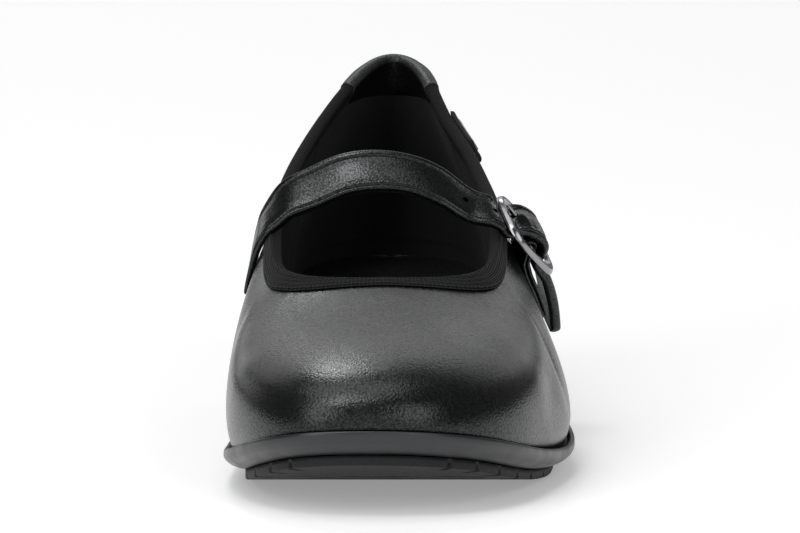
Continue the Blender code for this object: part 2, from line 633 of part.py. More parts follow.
for old in list(bpy.data.objects):
    bpy.data.objects.remove(old, do_unlink=True)
shoe = bpy.data.collections.new("mary_jane_flat")
helpers = bpy.data.collections.new("helpers")
bpy.context.scene.collection.children.link(shoe)
bpy.context.scene.collection.children.link(helpers)

make_midsole()
make_forefoot_tread()
make_heel()
make_insole()
make_upper()
make_binding()
make_collar()
make_strap()
make_buckle()
make_tab()
make_side_tab()
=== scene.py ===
"""Black leather Mary Jane ballet flat for the left foot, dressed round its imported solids.

Lengths are in millimetres and follow the shoe: x towards the little toe, d behind the tip of the toe, z above
the floor. placed() turns them into the frame's metres.
"""
import bmesh
import bpy
import numpy as np
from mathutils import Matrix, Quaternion, Vector


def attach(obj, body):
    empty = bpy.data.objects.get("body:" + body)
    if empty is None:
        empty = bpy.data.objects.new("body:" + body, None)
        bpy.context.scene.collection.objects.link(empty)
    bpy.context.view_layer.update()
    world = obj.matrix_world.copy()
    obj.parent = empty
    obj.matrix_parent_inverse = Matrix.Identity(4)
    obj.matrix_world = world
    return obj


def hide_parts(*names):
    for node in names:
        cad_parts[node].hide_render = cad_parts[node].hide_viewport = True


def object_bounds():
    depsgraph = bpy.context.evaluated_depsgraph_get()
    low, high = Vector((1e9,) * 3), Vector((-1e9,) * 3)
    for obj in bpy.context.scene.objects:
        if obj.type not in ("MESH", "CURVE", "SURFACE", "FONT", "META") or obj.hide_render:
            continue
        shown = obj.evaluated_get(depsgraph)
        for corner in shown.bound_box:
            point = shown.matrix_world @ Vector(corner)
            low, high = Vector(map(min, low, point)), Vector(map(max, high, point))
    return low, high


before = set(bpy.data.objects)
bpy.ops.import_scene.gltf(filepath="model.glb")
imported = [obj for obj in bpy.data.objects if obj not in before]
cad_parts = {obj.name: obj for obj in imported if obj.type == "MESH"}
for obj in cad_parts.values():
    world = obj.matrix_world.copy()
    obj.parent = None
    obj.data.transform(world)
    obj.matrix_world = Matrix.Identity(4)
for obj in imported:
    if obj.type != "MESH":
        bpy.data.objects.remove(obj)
cad_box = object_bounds()


# ---- Leather upper ----------------------------------------
# Vamp and quarters of fine-grained black calf, pulled over the last and cemented to the insole. The quarters
# lap over the vamp at the waist with two rows of stitching, and a back strip covers the seam at the heel.

MM = 0.001
MIDDLE_X, MIDDLE_D = 0.013, 130.8      # middle of the whole shoe
LEATHER = 0.85

# Feather line, where the upper turns in under the foot, then each rib from there to the topline:
# d, medial x, lateral x, then for either side rise and lean at the sole, reach and pitch at the top
LAST = (
    ("toe_tip", 2.9, -9.0, -9.0, 20.0, 4.0, 44.0, 14.0, 20.0, 4.0, 44.0, 14.0),
    ("toe_a", 5.2, -23.5, 7.0, 20.0, 4.0, 43.0, 15.0, 20.0, 4.0, 43.0, 15.0),
    ("toe_b", 13.5, -34.0, 20.8, 20.0, 7.0, 39.0, 19.0, 20.0, 7.0, 39.0, 19.0),
    ("toe_c", 29.0, -41.2, 31.0, 19.6, 12.9, 29.4, 28.9, 20.4, 12.9, 31.0, 28.1),
    ("front", 51.0, -44.9, 38.6, 15.0, 22.0, 16.5, 47.3, 16.1, 19.6, 22.1, 41.1),
    ("ball", 76.0, -44.6, 44.2, 15.3, 23.0, 15.5, 51.7, 14.4, 27.6, 15.4, 53.0),
    ("joint", 102.0, -41.8, 44.9, 15.1, 23.6, 14.6, 57.4, 11.8, 29.4, 12.6, 59.6),
    ("waist", 129.0, -37.0, 41.0, 14.2, 20.3, 12.7, 66.9, 12.9, 21.3, 13.2, 67.2),
    ("arch", 157.0, -34.0, 34.2, 16.0, 18.0, 16.0, 72.0, 16.0, 18.0, 16.0, 72.0),
    ("seat", 186.0, -32.0, 28.8, 16.0, 16.0, 17.0, 78.0, 16.0, 16.0, 17.0, 78.0),
    ("heel", 216.0, -31.4, 26.2, 17.0, 13.0, 18.0, 80.0, 17.0, 13.0, 18.0, 80.0),
    ("corner", 243.0, -26.6, 21.4, 18.0, 10.0, 20.0, 78.0, 18.0, 10.0, 20.0, 78.0),
    ("back", 258.7, -2.7, -2.7, 19.0, 10.0, 22.0, 77.0, 19.0, 10.0, 22.0, 77.0),
)
# Topline: medial d, lateral d, medial x, lateral x, z
TOPLINE = (
    ("throat", 84.0, 84.0, -4.0, -4.0, 52.2),
    ("throat_a", 84.2, 84.4, -13.6, 5.4, 52.1),
    ("throat_b", 86.0, 86.6, -23.0, 14.0, 52.2),
    ("corner_a", 90.5, 91.5, -29.6, 20.6, 52.8),
    ("corner_b", 99.5, 100.5, -33.7, 25.0, 54.6),
    ("side_a", 113.0, 114.0, -34.8, 26.7, 57.6),
    ("side_b", 130.0, 131.0, -34.9, 27.0, 60.9),
    ("side_c", 150.0, 150.0, -34.1, 26.4, 64.0),
    ("side_d", 172.0, 172.0, -31.9, 23.5, 68.4),
    ("side_e", 195.0, 195.0, -27.5, 19.0, 74.3),
    ("side_f", 218.0, 218.0, -20.9, 12.8, 81.6),
    ("side_g", 241.0, 241.0, -11.4, 6.9, 90.1),
    ("back", 250.8, 250.8, -1.9, -1.9, 93.0),
)
# Height of the insole board's seat along the shoe: toe spring, level ball, heel
SEAT = (
    (0.0, 23.8), (8.0, 21.3), (18.0, 18.4), (30.0, 15.2), (45.0, 11.9), (60.0, 9.6), (74.0, 8.35),
    (88.0, 8.1), (102.0, 8.3), (118.0, 9.9), (138.0, 14.0), (158.0, 19.2), (178.0, 24.0), (198.0, 28.0),
    (218.0, 30.6), (240.0, 32.2), (262.0, 33.2),
)
BALL_SEAT = 8.2
GAP = 0.25
BACK = len(LAST) - 1
AROUND = 2 * BACK


def numbers(table):
    return np.array([[v for v in row if not isinstance(v, str)] for row in table], float)


def placed(points):
    """Shoe millimetres to frame metres: x and d are counted from the middle of the box."""
    points = np.asarray(points, float)
    return np.stack([points[..., 0] - MIDDLE_X, points[..., 1] - MIDDLE_D, points[..., 2]], axis=-1) * MM


def smooth(knots, values, at):
    """Natural cubic spline: each stretch is a cubic, and slope and bend run on across every knot."""
    knots, values = np.asarray(knots, float), np.asarray(values, float)
    h = np.diff(knots)
    size = len(knots)
    system, right = np.eye(size), np.zeros((size,) + values.shape[1:])
    for i in range(1, size - 1):
        system[i, i - 1:i + 2] = h[i - 1], 2 * (h[i - 1] + h[i]), h[i]
        right[i] = 6 * ((values[i + 1] - values[i]) / h[i] - (values[i] - values[i - 1]) / h[i - 1])
    bend = np.linalg.solve(system, right)
    at = np.clip(np.asarray(at, float), knots[0], knots[-1])
    i = np.clip(np.searchsorted(knots, at) - 1, 0, size - 2)
    wide = (slice(None),) + (None,) * (values.ndim - 1)
    a, b, s = (knots[i + 1] - at)[wide], (at - knots[i])[wide], h[i][wide]
    return ((bend[i] * a**3 + bend[i + 1] * b**3) / (6 * s)
            + (values[i] / s - bend[i] * s / 6) * a + (values[i + 1] / s - bend[i + 1] * s / 6) * b)


def around(medial, lateral, u):
    """Closed cubic B-spline through the table's rows: u runs from the toe, 0, down the medial side to the
    back, 12, and up the lateral side to 24."""
    values = np.concatenate([medial, lateral[-2:0:-1]])
    count = len(values)
    rows = np.arange(count)
    system = np.zeros((count, count))
    system[rows, rows] = 4
    system[rows, (rows + 1) % count] = 1
    system[rows, (rows - 1) % count] = 1
    weights = np.linalg.solve(system / 6, values)
    i = np.floor(u).astype(int)
    t = u - i
    basis = ((1 - t)**3, 3 * t**3 - 6 * t**2 + 4, -3 * t**3 + 3 * t**2 + 3 * t + 1, t**3)
    return sum(b[..., None] * weights[(i + k - 1) % count] for k, b in enumerate(basis)) / 6


def seat(d):
    return np.maximum(smooth(*np.array(SEAT).T, np.ravel(d)).reshape(np.shape(d)), BALL_SEAT)


def feather(u):
    rows = numbers(LAST)
    loop = around(rows[:, [1, 0]], rows[:, [2, 0]], u)
    return np.concatenate([loop, seat(loop[..., 1])[..., None] + GAP], axis=-1)


def topline(u):
    rows = numbers(TOPLINE)
    return around(rows[:, [2, 0, 4]], rows[:, [3, 1, 4]], u)


def unit(v):
    return v / np.linalg.norm(v, axis=-1, keepdims=True)


def outward(curve, u):
    """Level direction that points out of the loop: the loop's own direction, a quarter turn round."""
    ahead = curve(u + 0.02) - curve(u - 0.02)
    return unit(np.stack([-ahead[..., 1], ahead[..., 0]], axis=-1))


def skin(u, v, off=0.0):
    """The lasted surface: at each u a cubic Bezier from the feather line (v 0) to the topline (v 1), which
    leaves the sole at the rib's lean and meets the topline at its pitch, moved off outwards."""
    def rib(u, v):
        rows = numbers(LAST)[:, 3:]
        rise, lean, reach, pitch = np.moveaxis(around(rows[:, :4], rows[:, 4:], u), -1, 0)
        low, high = feather(u), topline(u)
        lean, pitch = np.radians(lean)[..., None], np.radians(pitch)[..., None]
        up = np.concatenate([outward(feather, u) * np.sin(lean), np.cos(lean)], axis=-1)
        down = np.concatenate([outward(topline, u) * np.cos(pitch), -np.sin(pitch)], axis=-1)
        second, third = low + rise[..., None] * up, high + reach[..., None] * down
        v = v[..., None]
        return (1 - v)**3 * low + 3 * v * (1 - v)**2 * second + 3 * v**2 * (1 - v) * third + v**3 * high

    u, v, off = np.broadcast_arrays(np.asarray(u, float), np.asarray(v, float), np.asarray(off, float))
    across = rib(u + 0.03, v) - rib(u - 0.03, v)
    along = rib(u, v + 0.01) - rib(u, v - 0.01)
    return rib(u, v) - unit(np.cross(across, along)) * off[..., None]


def distances(points):
    """How far along its line each point lies, from the first."""
    return np.concatenate([[0], np.cumsum(np.linalg.norm(np.diff(points, axis=0), axis=1))])


def rounded_section(rows, count, times):
    """A closed section through rows, as count points at even steps. Each time, every point moves halfway to
    the middle of its two neighbours, which rounds the corners."""
    rows = np.array(rows + rows[:1])
    knots, places = np.linspace(0, 1, len(rows)), np.linspace(0, 1, count + 1)[:-1]
    section = np.stack([np.interp(places, knots, column) for column in rows.T], axis=1)
    for _ in range(times):
        section = (np.roll(section, 1, axis=0) + 2 * section + np.roll(section, -1, axis=0)) / 4
    return section


def turned(count):
    """Even angles of one full turn."""
    return np.arange(count) / count * 2 * np.pi


def added(name, data):
    """A new object in the scene, at the origin."""
    made = bpy.data.objects.new(name, data)
    bpy.context.scene.collection.objects.link(made)
    return made


def step(x, low, high):
    """0 below low, 1 above high and an S between them."""
    t = np.clip((x - low) / (high - low), 0, 1)
    return t * t * (3 - 2 * t)


def bell(x, middle, spread):
    return np.exp(-((x - middle) / spread)**2)


def corners(grid):
    """The four corner values of each square of a grid, one square a row."""
    squares = np.stack([grid[:-1, :-1], grid[1:, :-1], grid[1:, 1:], grid[:-1, 1:]], axis=2)
    return squares.reshape(-1, 4, *grid.shape[2:])


def piece(name, rings, stands_for, loop=False, capped=True, ridge=None):
    """A closed surface swept along a path: rings holds one closed section for each station.

    loop joins the last section to the first, and capped closes the two ends. The UV map runs along the path
    and round the section, in metres. ridge is a number for each point, kept as an attribute for the material.
    Sections that shrink to a line or a point are merged shut.
    """
    points = placed(rings)
    count, wide = points.shape[:2]
    index = np.arange(count * wide).reshape(count, wide)
    index = np.concatenate([index, index[:, :1]], axis=1)
    if loop:
        index = np.concatenate([index, index[:1]])
    quads = corners(index)
    flat = points.reshape(-1, 3)
    a, b, c, d = (flat[quads[:, k]] for k in range(4))
    volume = np.sum(a * (np.cross(b, c) + np.cross(c, d)))
    spread = flat[index]
    along = np.linalg.norm(np.diff(spread, axis=0), axis=-1).mean(axis=1)
    girth = np.linalg.norm(np.diff(spread, axis=1), axis=-1)
    s = np.concatenate([[0], np.cumsum(along)])[:, None] + 0 * index
    t = np.concatenate([np.zeros((len(index), 1)), np.cumsum(girth, axis=1)], axis=1)
    uv = corners(np.stack([s, t], axis=-1))
    if volume < 0:
        quads, uv = quads[:, ::-1], uv[:, ::-1]
    mesh = bpy.data.meshes.new(name)
    mesh.from_pydata(flat, [], quads)
    mesh.uv_layers.new(name="UVMap").data.foreach_set("uv", uv.reshape(-1))
    if ridge is not None:
        kept = mesh.attributes.new("ridge", "FLOAT", "POINT")
        kept.data.foreach_set("value", np.ravel(ridge).astype(np.float32))
    edit = bmesh.new()
    edit.from_mesh(mesh)
    if capped and not loop:
        edit.verts.ensure_lookup_table()
        for end in (index[0, :-1], index[-1, :-1][::-1]):
            face = [edit.verts[i] for i in (end if volume > 0 else end[::-1])]
            edit.faces.new(face)
    bmesh.ops.remove_doubles(edit, verts=edit.verts, dist=1e-7)
    edit.to_mesh(mesh)
    edit.free()
    mesh.polygons.foreach_set("use_smooth", np.ones(len(mesh.polygons), bool))
    made = added(name, mesh)
    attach(made, "root")
    if stands_for:
        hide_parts(*stands_for)
    return made


def node(tree, kind, to=None, **values):
    """Adds a shader node, sets its properties and inputs, and may join its first output to the socket to.
    A value that is a socket is linked, and any other is set. i0, i1 and so on are inputs by number."""
    made = tree.nodes.new("ShaderNode" + kind)
    for key, value in values.items():
        if hasattr(made, key):
            setattr(made, key, value)
            continue
        numbered = key[0] == "i" and key[1:].isdigit()
        socket = made.inputs[int(key[1:]) if numbered else key.replace("_", " ")]
        if isinstance(value, bpy.types.NodeSocket):
            tree.links.new(value, socket)
        else:
            socket.default_value = value
    if to is not None:
        tree.links.new(made.outputs[0], to)
    return made


def finish(name, colour, roughness, **shader):
    """A material with its Principled shader. Returns the material, its node tree and the shader."""
    material = bpy.data.materials.new(name)
    material.use_nodes = True
    tree = material.node_tree
    principled = tree.nodes["Principled BSDF"]
    principled.inputs["Base Color"].default_value = (*colour, 1)
    principled.inputs["Roughness"].default_value = roughness
    for key, value in shader.items():
        principled.inputs[key.replace("_", " ")].default_value = value
    return material, tree, principled


def ramped(tree, value, low, high, start, end, to=None):
    """A value from low..high rescaled to start..end."""
    return node(tree, "MapRange", to, i0=value, i1=low, i2=high, i3=start, i4=end).outputs[0]


def noise(tree, where, scale, detail, **values):
    """Noise at the coordinates where, about 0.5 on average."""
    return node(tree, "TexNoise", Vector=where, Scale=scale, Detail=detail, **values).outputs[0]


def bumped(tree, shader, height, distance, **values):
    """Bumps a shader's surface by distance metres for a height of 1."""
    return node(tree, "Bump", shader.inputs["Normal"], Height=height, Distance=distance, **values)


def calf(name, grain, depth, shine, colour=(0.003, 0.003, 0.0032)):
    """Finished black calf: cells of grain with soft edges and creases between them, finer pores, broad
    changes of shine. Painted shade: the reflection is turned down in the creases."""
    material, tree, shader = finish(name, colour, shine, Specular_Tint=(0.95, 1.0, 1.0, 1))
    where = node(tree, "TexCoord").outputs["Object"]
    drift = node(tree, "TexNoise", Vector=where, Scale=420.0, Detail=2.0).outputs["Color"]
    bent = node(tree, "VectorMath", operation="MULTIPLY_ADD", i0=drift, i1=(0.0006,) * 3, i2=where).outputs[0]
    cells = node(tree, "TexVoronoi", Vector=bent, Scale=1000.0 / grain, feature="SMOOTH_F1",
                 Smoothness=0.35).outputs["Distance"]
    pores = noise(tree, where, 2600.0, 3.0, Roughness=0.6)
    broad = noise(tree, where, 70.0, 3.0)
    height = node(tree, "Math", operation="MULTIPLY_ADD", i0=pores, i1=0.35, i2=cells).outputs[0]
    # Painted shade: the reflection level falls from the cells' tops into the creases between them
    ramped(tree, height, 0.3, 0.95, 0.72, 0.26, to=shader.inputs["Specular IOR Level"])
    bump = node(tree, "Bump", Height=height, Distance=depth * MM, Strength=1.0, invert=True)
    bumped(tree, shader, broad, 0.05 * MM, Strength=1.0, Normal=bump.outputs[0])
    ramped(tree, broad, 0.3, 0.7, shine - 0.035, shine + 0.035, to=shader.inputs["Roughness"])
    return material


QUARTER_EDGE = 7.95      # loop position where the quarter laps over the vamp, at the sole
QUARTER_SLANT = 0.6      # how far forward that edge leans on its way up
STRIP_HALF = 0.27        # half the width of the back strip
LAP, STRIP_LAP = 0.45, 0.4
LAPPED = (QUARTER_EDGE, BACK - STRIP_HALF, BACK + STRIP_HALF, AROUND - QUARTER_EDGE)
EDGE = 0.006             # half the width of a lapped edge, in loop positions
# Soft folds of the vamp: side (medial -1, lateral 1), height, middle as a loop position from the toe and a
# share of the way up, its fall towards the heel, then how far it reaches along and across
FOLDS = (
    ("medial_ridge", -1, 0.3, 3.0, 0.33, 0.24, 1.1, 0.1),
    ("medial_upper_ridge", -1, 0.2, 2.8, 0.66, 0.0, 0.25, 0.2),
    ("medial_hollow", -1, -0.2, 3.3, 0.5, 0.24, 0.9, 0.1),
    ("lateral_crease", 1, -0.22, 4.5, 0.45, 0.43, 0.8, 0.06),
    ("lateral_ridge", 1, 0.25, 3.0, 0.42, 0.3, 1.2, 0.1),
)


def leaned(u, v):
    """Grid line u, leant so that it follows the quarter's edge near it and stands upright away from it."""
    for edge, lean in ((QUARTER_EDGE, -QUARTER_SLANT), (AROUND - QUARTER_EDGE, QUARTER_SLANT)):
        u = u + lean * v * (1 - step(np.abs(u - edge), 0.35, 1.5))
    return u


def relief(u, v):
    """How far the leather stands off the last: laps at the quarters and back strip, pull marks at the
    throat's corners and the folds, each a bell along its line and a narrower one across it."""
    laps = [step(u, edge - EDGE, edge + EDGE) for edge in LAPPED]
    side = np.minimum(u, AROUND - u)
    pull = bell(side, 3.1, 1.1) * bell(v, 1.0, 0.22) * np.sin(side * 34 + 3 * np.sin(side * 9))
    height = LAP * (laps[0] - laps[3]) + STRIP_LAP * (laps[1] - laps[2]) + 0.07 * pull
    for hand, high, middle, up, fall, reach, spread in numbers(FOLDS):
        line = up - fall * (side - middle)
        height = height + (hand * (u - BACK) > 0) * high * bell(side, middle, reach) * bell(v, line, spread)
    return height


def on_board(points):
    """Inner points, none of them lower than the insole board."""
    points[..., 2] = np.maximum(points[..., 2], seat(points[..., 1]) + GAP)
    return points


crowded = [edge + 2 * EDGE * np.linspace(-1, 1, 7) for edge in LAPPED]
lines = np.unique(np.round(np.concatenate([np.arange(0, AROUND, AROUND / 470), *crowded]), 4))[:, None]
rise = np.linspace(0, 1, 100)[None]
# The relief sinks under the binding
outer = skin(leaned(lines, rise), rise, relief(lines + 0 * rise, rise) * (1 - 0.8 * step(rise, 0.93, 0.99)))
rise = np.linspace(1, 0, 26)[None]
inner = on_board(skin(leaned(lines, rise), rise, -LEATHER))
upper = piece("vamp_and_quarters", np.concatenate([outer, inner], axis=1), ["upper"],
              loop=True)
upper.data.materials.append(calf("black_calf", grain=0.62, depth=0.055, shine=0.26))


# ---- Thread -----------------------------------------------
# Black bonded polyester, lock-stitched at nine stitches to the inch: each stitch is a short length of thread
# that dips into its needle holes at both ends.

PITCH = 2.75
STITCH = 2.15
THREAD = 0.26

thread, tree, shader = finish("black_thread", (0.01, 0.01, 0.01), 0.5, Specular_IOR_Level=0.35)
where = node(tree, "UVMap").outputs[0]
twist = node(tree, "TexWave", Vector=where, Scale=900.0, Distortion=0.0, bands_direction="DIAGONAL")
bumped(tree, shader, twist.outputs["Fac"], 0.06 * MM)


def stitches(name, path, normals, slot="upper_leather", length=STITCH, pitch=PITCH, radius=THREAD, sink=0.1):
    """A row of stitches along a path. Each is a bent capsule: its middle line follows the path and bows up
    from the needle holes by a parabola, and its round section closes in at both ends."""
    run = distances(path)
    count = max(int((run[-1] - length) / pitch) + 1, 1)
    start = (run[-1] - (count - 1) * pitch - length) / 2 + pitch * np.arange(count)
    share = np.array([0, 0.05, 0.2, 0.5, 0.8, 0.95, 1.0])
    at = start[:, None] + share * length

    def read(values):
        return np.stack([np.interp(at, run, values[:, k]) for k in range(3)], axis=-1)

    middle, up = read(path), unit(read(normals))
    ahead = unit(np.gradient(path, axis=0))
    ahead = unit(read(ahead))
    side = unit(np.cross(ahead, up))
    bow = (4 * share * (1 - share) - 0.9) * radius * 1.6 - sink
    thick = radius * np.array([0.35, 0.75, 1.0, 1.0, 1.0, 0.75, 0.35])
    turn = turned(7)
    spread = side[:, :, None] * np.cos(turn)[:, None] + up[:, :, None] * np.sin(turn)[:, None]
    points = (middle + up * bow[:, None])[:, :, None] + spread * thick[:, None, None]
    rings, sides = len(share), len(turn)
    flat = placed(points.reshape(-1, 3))
    index = np.arange(len(flat)).reshape(count, rings, sides)
    index = np.concatenate([index, index[:, :, :1]], axis=2)
    quads = np.stack([index[:, 1:, :-1], index[:, 1:, 1:], index[:, :-1, 1:], index[:, :-1, :-1]], axis=-1)
    caps = np.concatenate([index[:, 0, :-1], index[:, -1, :-1][:, ::-1]])
    mesh = bpy.data.meshes.new(name)
    mesh.from_pydata(flat, [], quads.reshape(-1, 4).tolist() + caps.tolist())
    mesh.uv_layers.new(name="UVMap")
    mesh.polygons.foreach_set("use_smooth", np.ones(len(mesh.polygons), bool))
    row = added(name, mesh)
    mesh.materials.append(thread)
    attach(row, "root")
    return row


def on_skin(u, v, off=0.0):
    """Points of the finished leather and the directions away from it, at loop positions u and heights v."""
    here = skin(u, v, off)
    return here, skin(u, v, off + 1.0) - here


for side, edge, lean in (("medial", QUARTER_EDGE, -1), ("lateral", AROUND - QUARTER_EDGE, 1)):
    for row, behind in (("front", 0.05), ("rear", 0.125)):
        rise = np.linspace(0.03, 0.9, 90)
        u = edge + lean * QUARTER_SLANT * rise - lean * behind
        stitches(f"quarter_stitches_{side}_{row}", *on_skin(u, rise, LAP))
for side, sign in (("medial", -1), ("lateral", 1)):
    rise = np.linspace(0.03, 0.86, 90)
    u = BACK + sign * (STRIP_HALF - 0.06) + 0 * rise
    stitches(f"back_strip_stitches_{side}", *on_skin(u, rise, STRIP_LAP))


# ---- Lining -----------------------------------------------
# Soft black textile bonded behind the leather, with a suede heel grip sewn in where the foot would slip.

LINING_NEAR = 0.95
LINING_FAR = 1.6
LINING_TOP = 0.99
GRIP_FROM = 9.6
GRIP = 0.3

lines = np.arange(0, AROUND, AROUND / 360)[:, None]
rise = np.linspace(LINING_TOP, 0, 70)[None]
side = np.abs(lines - BACK)
grip = (1 - step(side, BACK - GRIP_FROM, BACK - GRIP_FROM + 0.02)) * step(rise, 0.1, 0.11)
inner = on_board(skin(lines, rise, -LINING_FAR - GRIP * grip))
rise = np.linspace(0, LINING_TOP, 24)[None]
outer = on_board(skin(lines, rise, -LINING_NEAR))
lining = piece("lining", np.concatenate([inner, outer], axis=1), [], loop=True)
textile, tree, shader = finish("lining_textile", (0.012, 0.012, 0.0126), 0.9, Specular_IOR_Level=0.2,
                               Sheen_Weight=0.04, Sheen_Roughness=0.5)
where = node(tree, "TexCoord").outputs["Object"]
nap = noise(tree, where, 1900.0, 4.0, Roughness=0.7)
bumped(tree, shader, nap, 0.12 * MM)
tint = node(tree, "ValToRGB", Fac=nap)
tint.color_ramp.elements[0].color = (0.007, 0.007, 0.0074, 1)
tint.color_ramp.elements[1].color = (0.02, 0.02, 0.021, 1)
tree.links.new(tint.outputs[0], shader.inputs["Base Color"])
lining.data.materials.append(textile)


# ---- Elastic binding --------------------------------------
# Ribbed black elastic, folded over the raw topline from heel to heel and sewn through with one row. It is
# wider round the throat's corners, where it is stretched flat, and puckers a little across the front.

BINDING_LEG = 3.6
CORNER_LEG = 4.2
ELASTIC = 0.8
WALL = 1.6
BINDING_TO = 10.95
RIB_PITCH = 0.68
LEG_POINTS = 90


def rim(u, along, off):
    """Points by the topline at loop positions u, one row for each: along millimetres above (or below) the
    edge in the rib's own direction, then off the surface."""
    along, off = np.broadcast_arrays(np.asarray(along, float), np.asarray(off, float))
    one = np.ones_like(u)
    climb = skin(u, one) - skin(u, one - 0.02)
    length = np.linalg.norm(climb, axis=-1) / 0.02
    wide = (slice(None),) + (None,) * (along.ndim - 1)
    height = 1 + np.minimum(along, 0) / length[wide]
    return skin(u[wide], height, off) + unit(climb)[wide] * np.maximum(along, 0)[..., None]


def folded(u, leg, near, far, over, swell):
    """Sections of a strip folded over the edge: up the outer leg, over the fold and down the inner leg, then
    back inside. leg is its depth, near and far its two faces, over the fold's height above the edge.
    swell(share, u) adds to the far face, share running 0 at the outer edge to 1 at the fold."""
    inside_near, inside_far = -WALL - near, -WALL - far
    middle, half_far, half_near = (far + inside_far) / 2, (far - inside_far) / 2, (near - inside_near) / 2
    share = np.linspace(0, 1, LEG_POINTS)
    turn = np.linspace(0, np.pi, 15)[1:-1]
    u, leg = u[:, None], leg[:, None]

    def down(shares, off):
        return -leg * (1 - shares), off + 0 * u * shares

    def over_edge(turns, height, half):
        return height * np.sin(turns) + 0 * u, middle + half * np.cos(turns) + 0 * u

    edge = 1 - np.exp(-(share * leg / 0.35))
    inner_edge = 1 - np.exp(-share[::-6] * leg / 2.5)
    parts = [down(share, near + (far - near + swell(share, u)) * edge), over_edge(turn, over, half_far),
             down(share[::-6], inside_near + (inside_far - inside_near) * inner_edge),
             down(share[::10], inside_near), over_edge(turn[::-2], over - far + near, half_near),
             down(share[::-6], near)]
    along, off = (np.concatenate(columns, axis=1) for columns in zip(*parts))
    return rim(u[:, 0], along, off)


def binding_leg(u):
    return BINDING_LEG + CORNER_LEG * bell(np.abs(u), 2.65, 1.35)


def rib(share, u):
    """Lengthwise ribs: a row of half circles down the leg, 0 in the valleys and 1 on top."""
    return np.abs(np.cos(share * binding_leg(u) / RIB_PITCH * np.pi))


def ribs(share, u):
    """The ribs' height, and the pucker across the front of the throat."""
    pucker = bell(u, 0, 1.9) * np.sin(u * 40 + 2 * np.sin(u * 17)) * np.sin(share * np.pi)
    return 0.22 * (rib(share, u) - 0.6) + 0.05 * pucker


u = np.linspace(-BINDING_TO, BINDING_TO, 620)
sections = folded(u, binding_leg(u), GAP, GAP + ELASTIC, 1.05, ribs)
# ridge: the ribs' height up the outer leg, which the material turns into painted light on the crests
ridge = np.full(sections.shape[:2], 0.45)
ridge[:, :LEG_POINTS] = rib(np.linspace(0, 1, LEG_POINTS), u[:, None])
binding = piece("elastic_binding", sections, ["topline_binding"], ridge=ridge)
elastic, tree, shader = finish("ribbed_elastic", (0.012, 0.012, 0.013), 0.75, Specular_IOR_Level=0.15,
                               Sheen_Weight=0.03, Sheen_Roughness=0.4)
where = node(tree, "UVMap").outputs[0]
along = node(tree, "TexWave", Vector=where, Scale=290.0, Distortion=1.2, Detail=2.0, Detail_Scale=2.0,
             bands_direction="X")
across = node(tree, "TexWave", Vector=where, Scale=520.0, Distortion=0.6, bands_direction="Y")
weave = node(tree, "Math", operation="MULTIPLY", i0=along.outputs["Fac"], i1=across.outputs["Fac"]).outputs[0]
bumped(tree, shader, weave, 0.14 * MM)
# Painted light: the rib crests are coloured lighter and the valleys darker than the elastic's own black
painted_crest_light = node(tree, "Attribute", attribute_name="ridge").outputs["Fac"]
threads = ramped(tree, weave, 0.0, 1.0, 0.65, 1.0)
shade = node(tree, "Math", operation="MULTIPLY", i0=painted_crest_light, i1=threads).outputs[0]
tint = node(tree, "ValToRGB", Fac=shade)
tint.color_ramp.elements[0].position = 0.45
tint.color_ramp.elements[0].color = (0.001, 0.001, 0.0012, 1)
tint.color_ramp.elements[1].color = (0.06, 0.062, 0.063, 1)
tree.links.new(tint.outputs[0], shader.inputs["Base Color"])
binding.data.materials.append(elastic)

u = np.linspace(-BINDING_TO + 0.3, BINDING_TO - 0.3, 700)
row = rim(u, -binding_leg(u) + 0.55, GAP + ELASTIC * 0.85)
above = rim(u, -binding_leg(u) + 0.55, GAP + ELASTIC + 1.0) - row
stitches("binding_stitches", row, above, "elastic_binding", length=1.5, pitch=2.1, radius=0.22)


# ---- Heel collar ------------------------------------------
# A crescent of soft calf folded over thin foam at the back of the topline. Its ends wrap over the binding's
# ends, and one row of stitching follows its lower edge.

COLLAR_FROM = 10.75
COLLAR_LEG = 10.0
COLLAR_EDGE = 0.16      # how far past COLLAR_FROM the collar's wrapped ends reach

reach = BACK - COLLAR_FROM + COLLAR_EDGE
u = BACK + reach * np.sin(np.linspace(-np.pi / 2, np.pi / 2, 260))


def collar_leg(u):
    return BINDING_LEG + 0.8 + (COLLAR_LEG - BINDING_LEG) * np.cos((u - BACK) / reach * np.pi / 2 * 0.98)


def padding(share, u):
    """Foam under the leather: fullest at a third of the way down, gone at the stitching and at the ends."""
    end = 1 - step(np.abs(u - BACK), reach - 0.42, reach - 0.05)
    wrap = 0.25 * bell(np.abs(u - BACK), reach - 0.12, 0.14)
    tuck = 0.07 * np.sin((u - BACK) * 55) * bell(share, 0.15, 0.15)
    return (0.7 * np.sin(np.pi * step(share, 0.1, 1.4)) * end + tuck * end + wrap
            - 0.35 * bell(share * collar_leg(u), 1.1, 0.5) * end)


collar = piece("padded_heel_collar", folded(u, collar_leg(u), GAP, GAP + 1.15, 1.5, padding),
               ["heel_collar"])
collar.data.materials.append(calf("soft_collar_calf", grain=0.7, depth=0.05, shine=0.42))
u = BACK + (reach - 0.2) * np.linspace(-1, 1, 200)
row = rim(u, -collar_leg(u) + 1.1, GAP + 0.95)
stitches("collar_stitches", row, rim(u, -collar_leg(u) + 1.1, GAP + 2.0) - row)


# ---- Insole -----------------------------------------------
# A sock of matt black leather over foam on the insole board, with a heel cushion under it.

INSOLE_INSET = WALL + 0.9
INSOLE_TOP = 2.3
# Its rounded edge: how far in, and the height above the seat
SOCK_EDGE = ((1.3, INSOLE_TOP), (0.5, INSOLE_TOP - 0.1), (0.0, INSOLE_TOP - 0.8), (0.0, GAP))


def above_seat(rise):
    return lambda d: seat(d) + rise


def sole_point(u, off, height):
    """Point of the feather line moved off outwards, at a height of its own."""
    base = feather(u)[..., :2] + outward(feather, u) * off
    return np.concatenate([base, height(base[..., 1])[..., None]], axis=-1)


def plain(points, share):
    return points


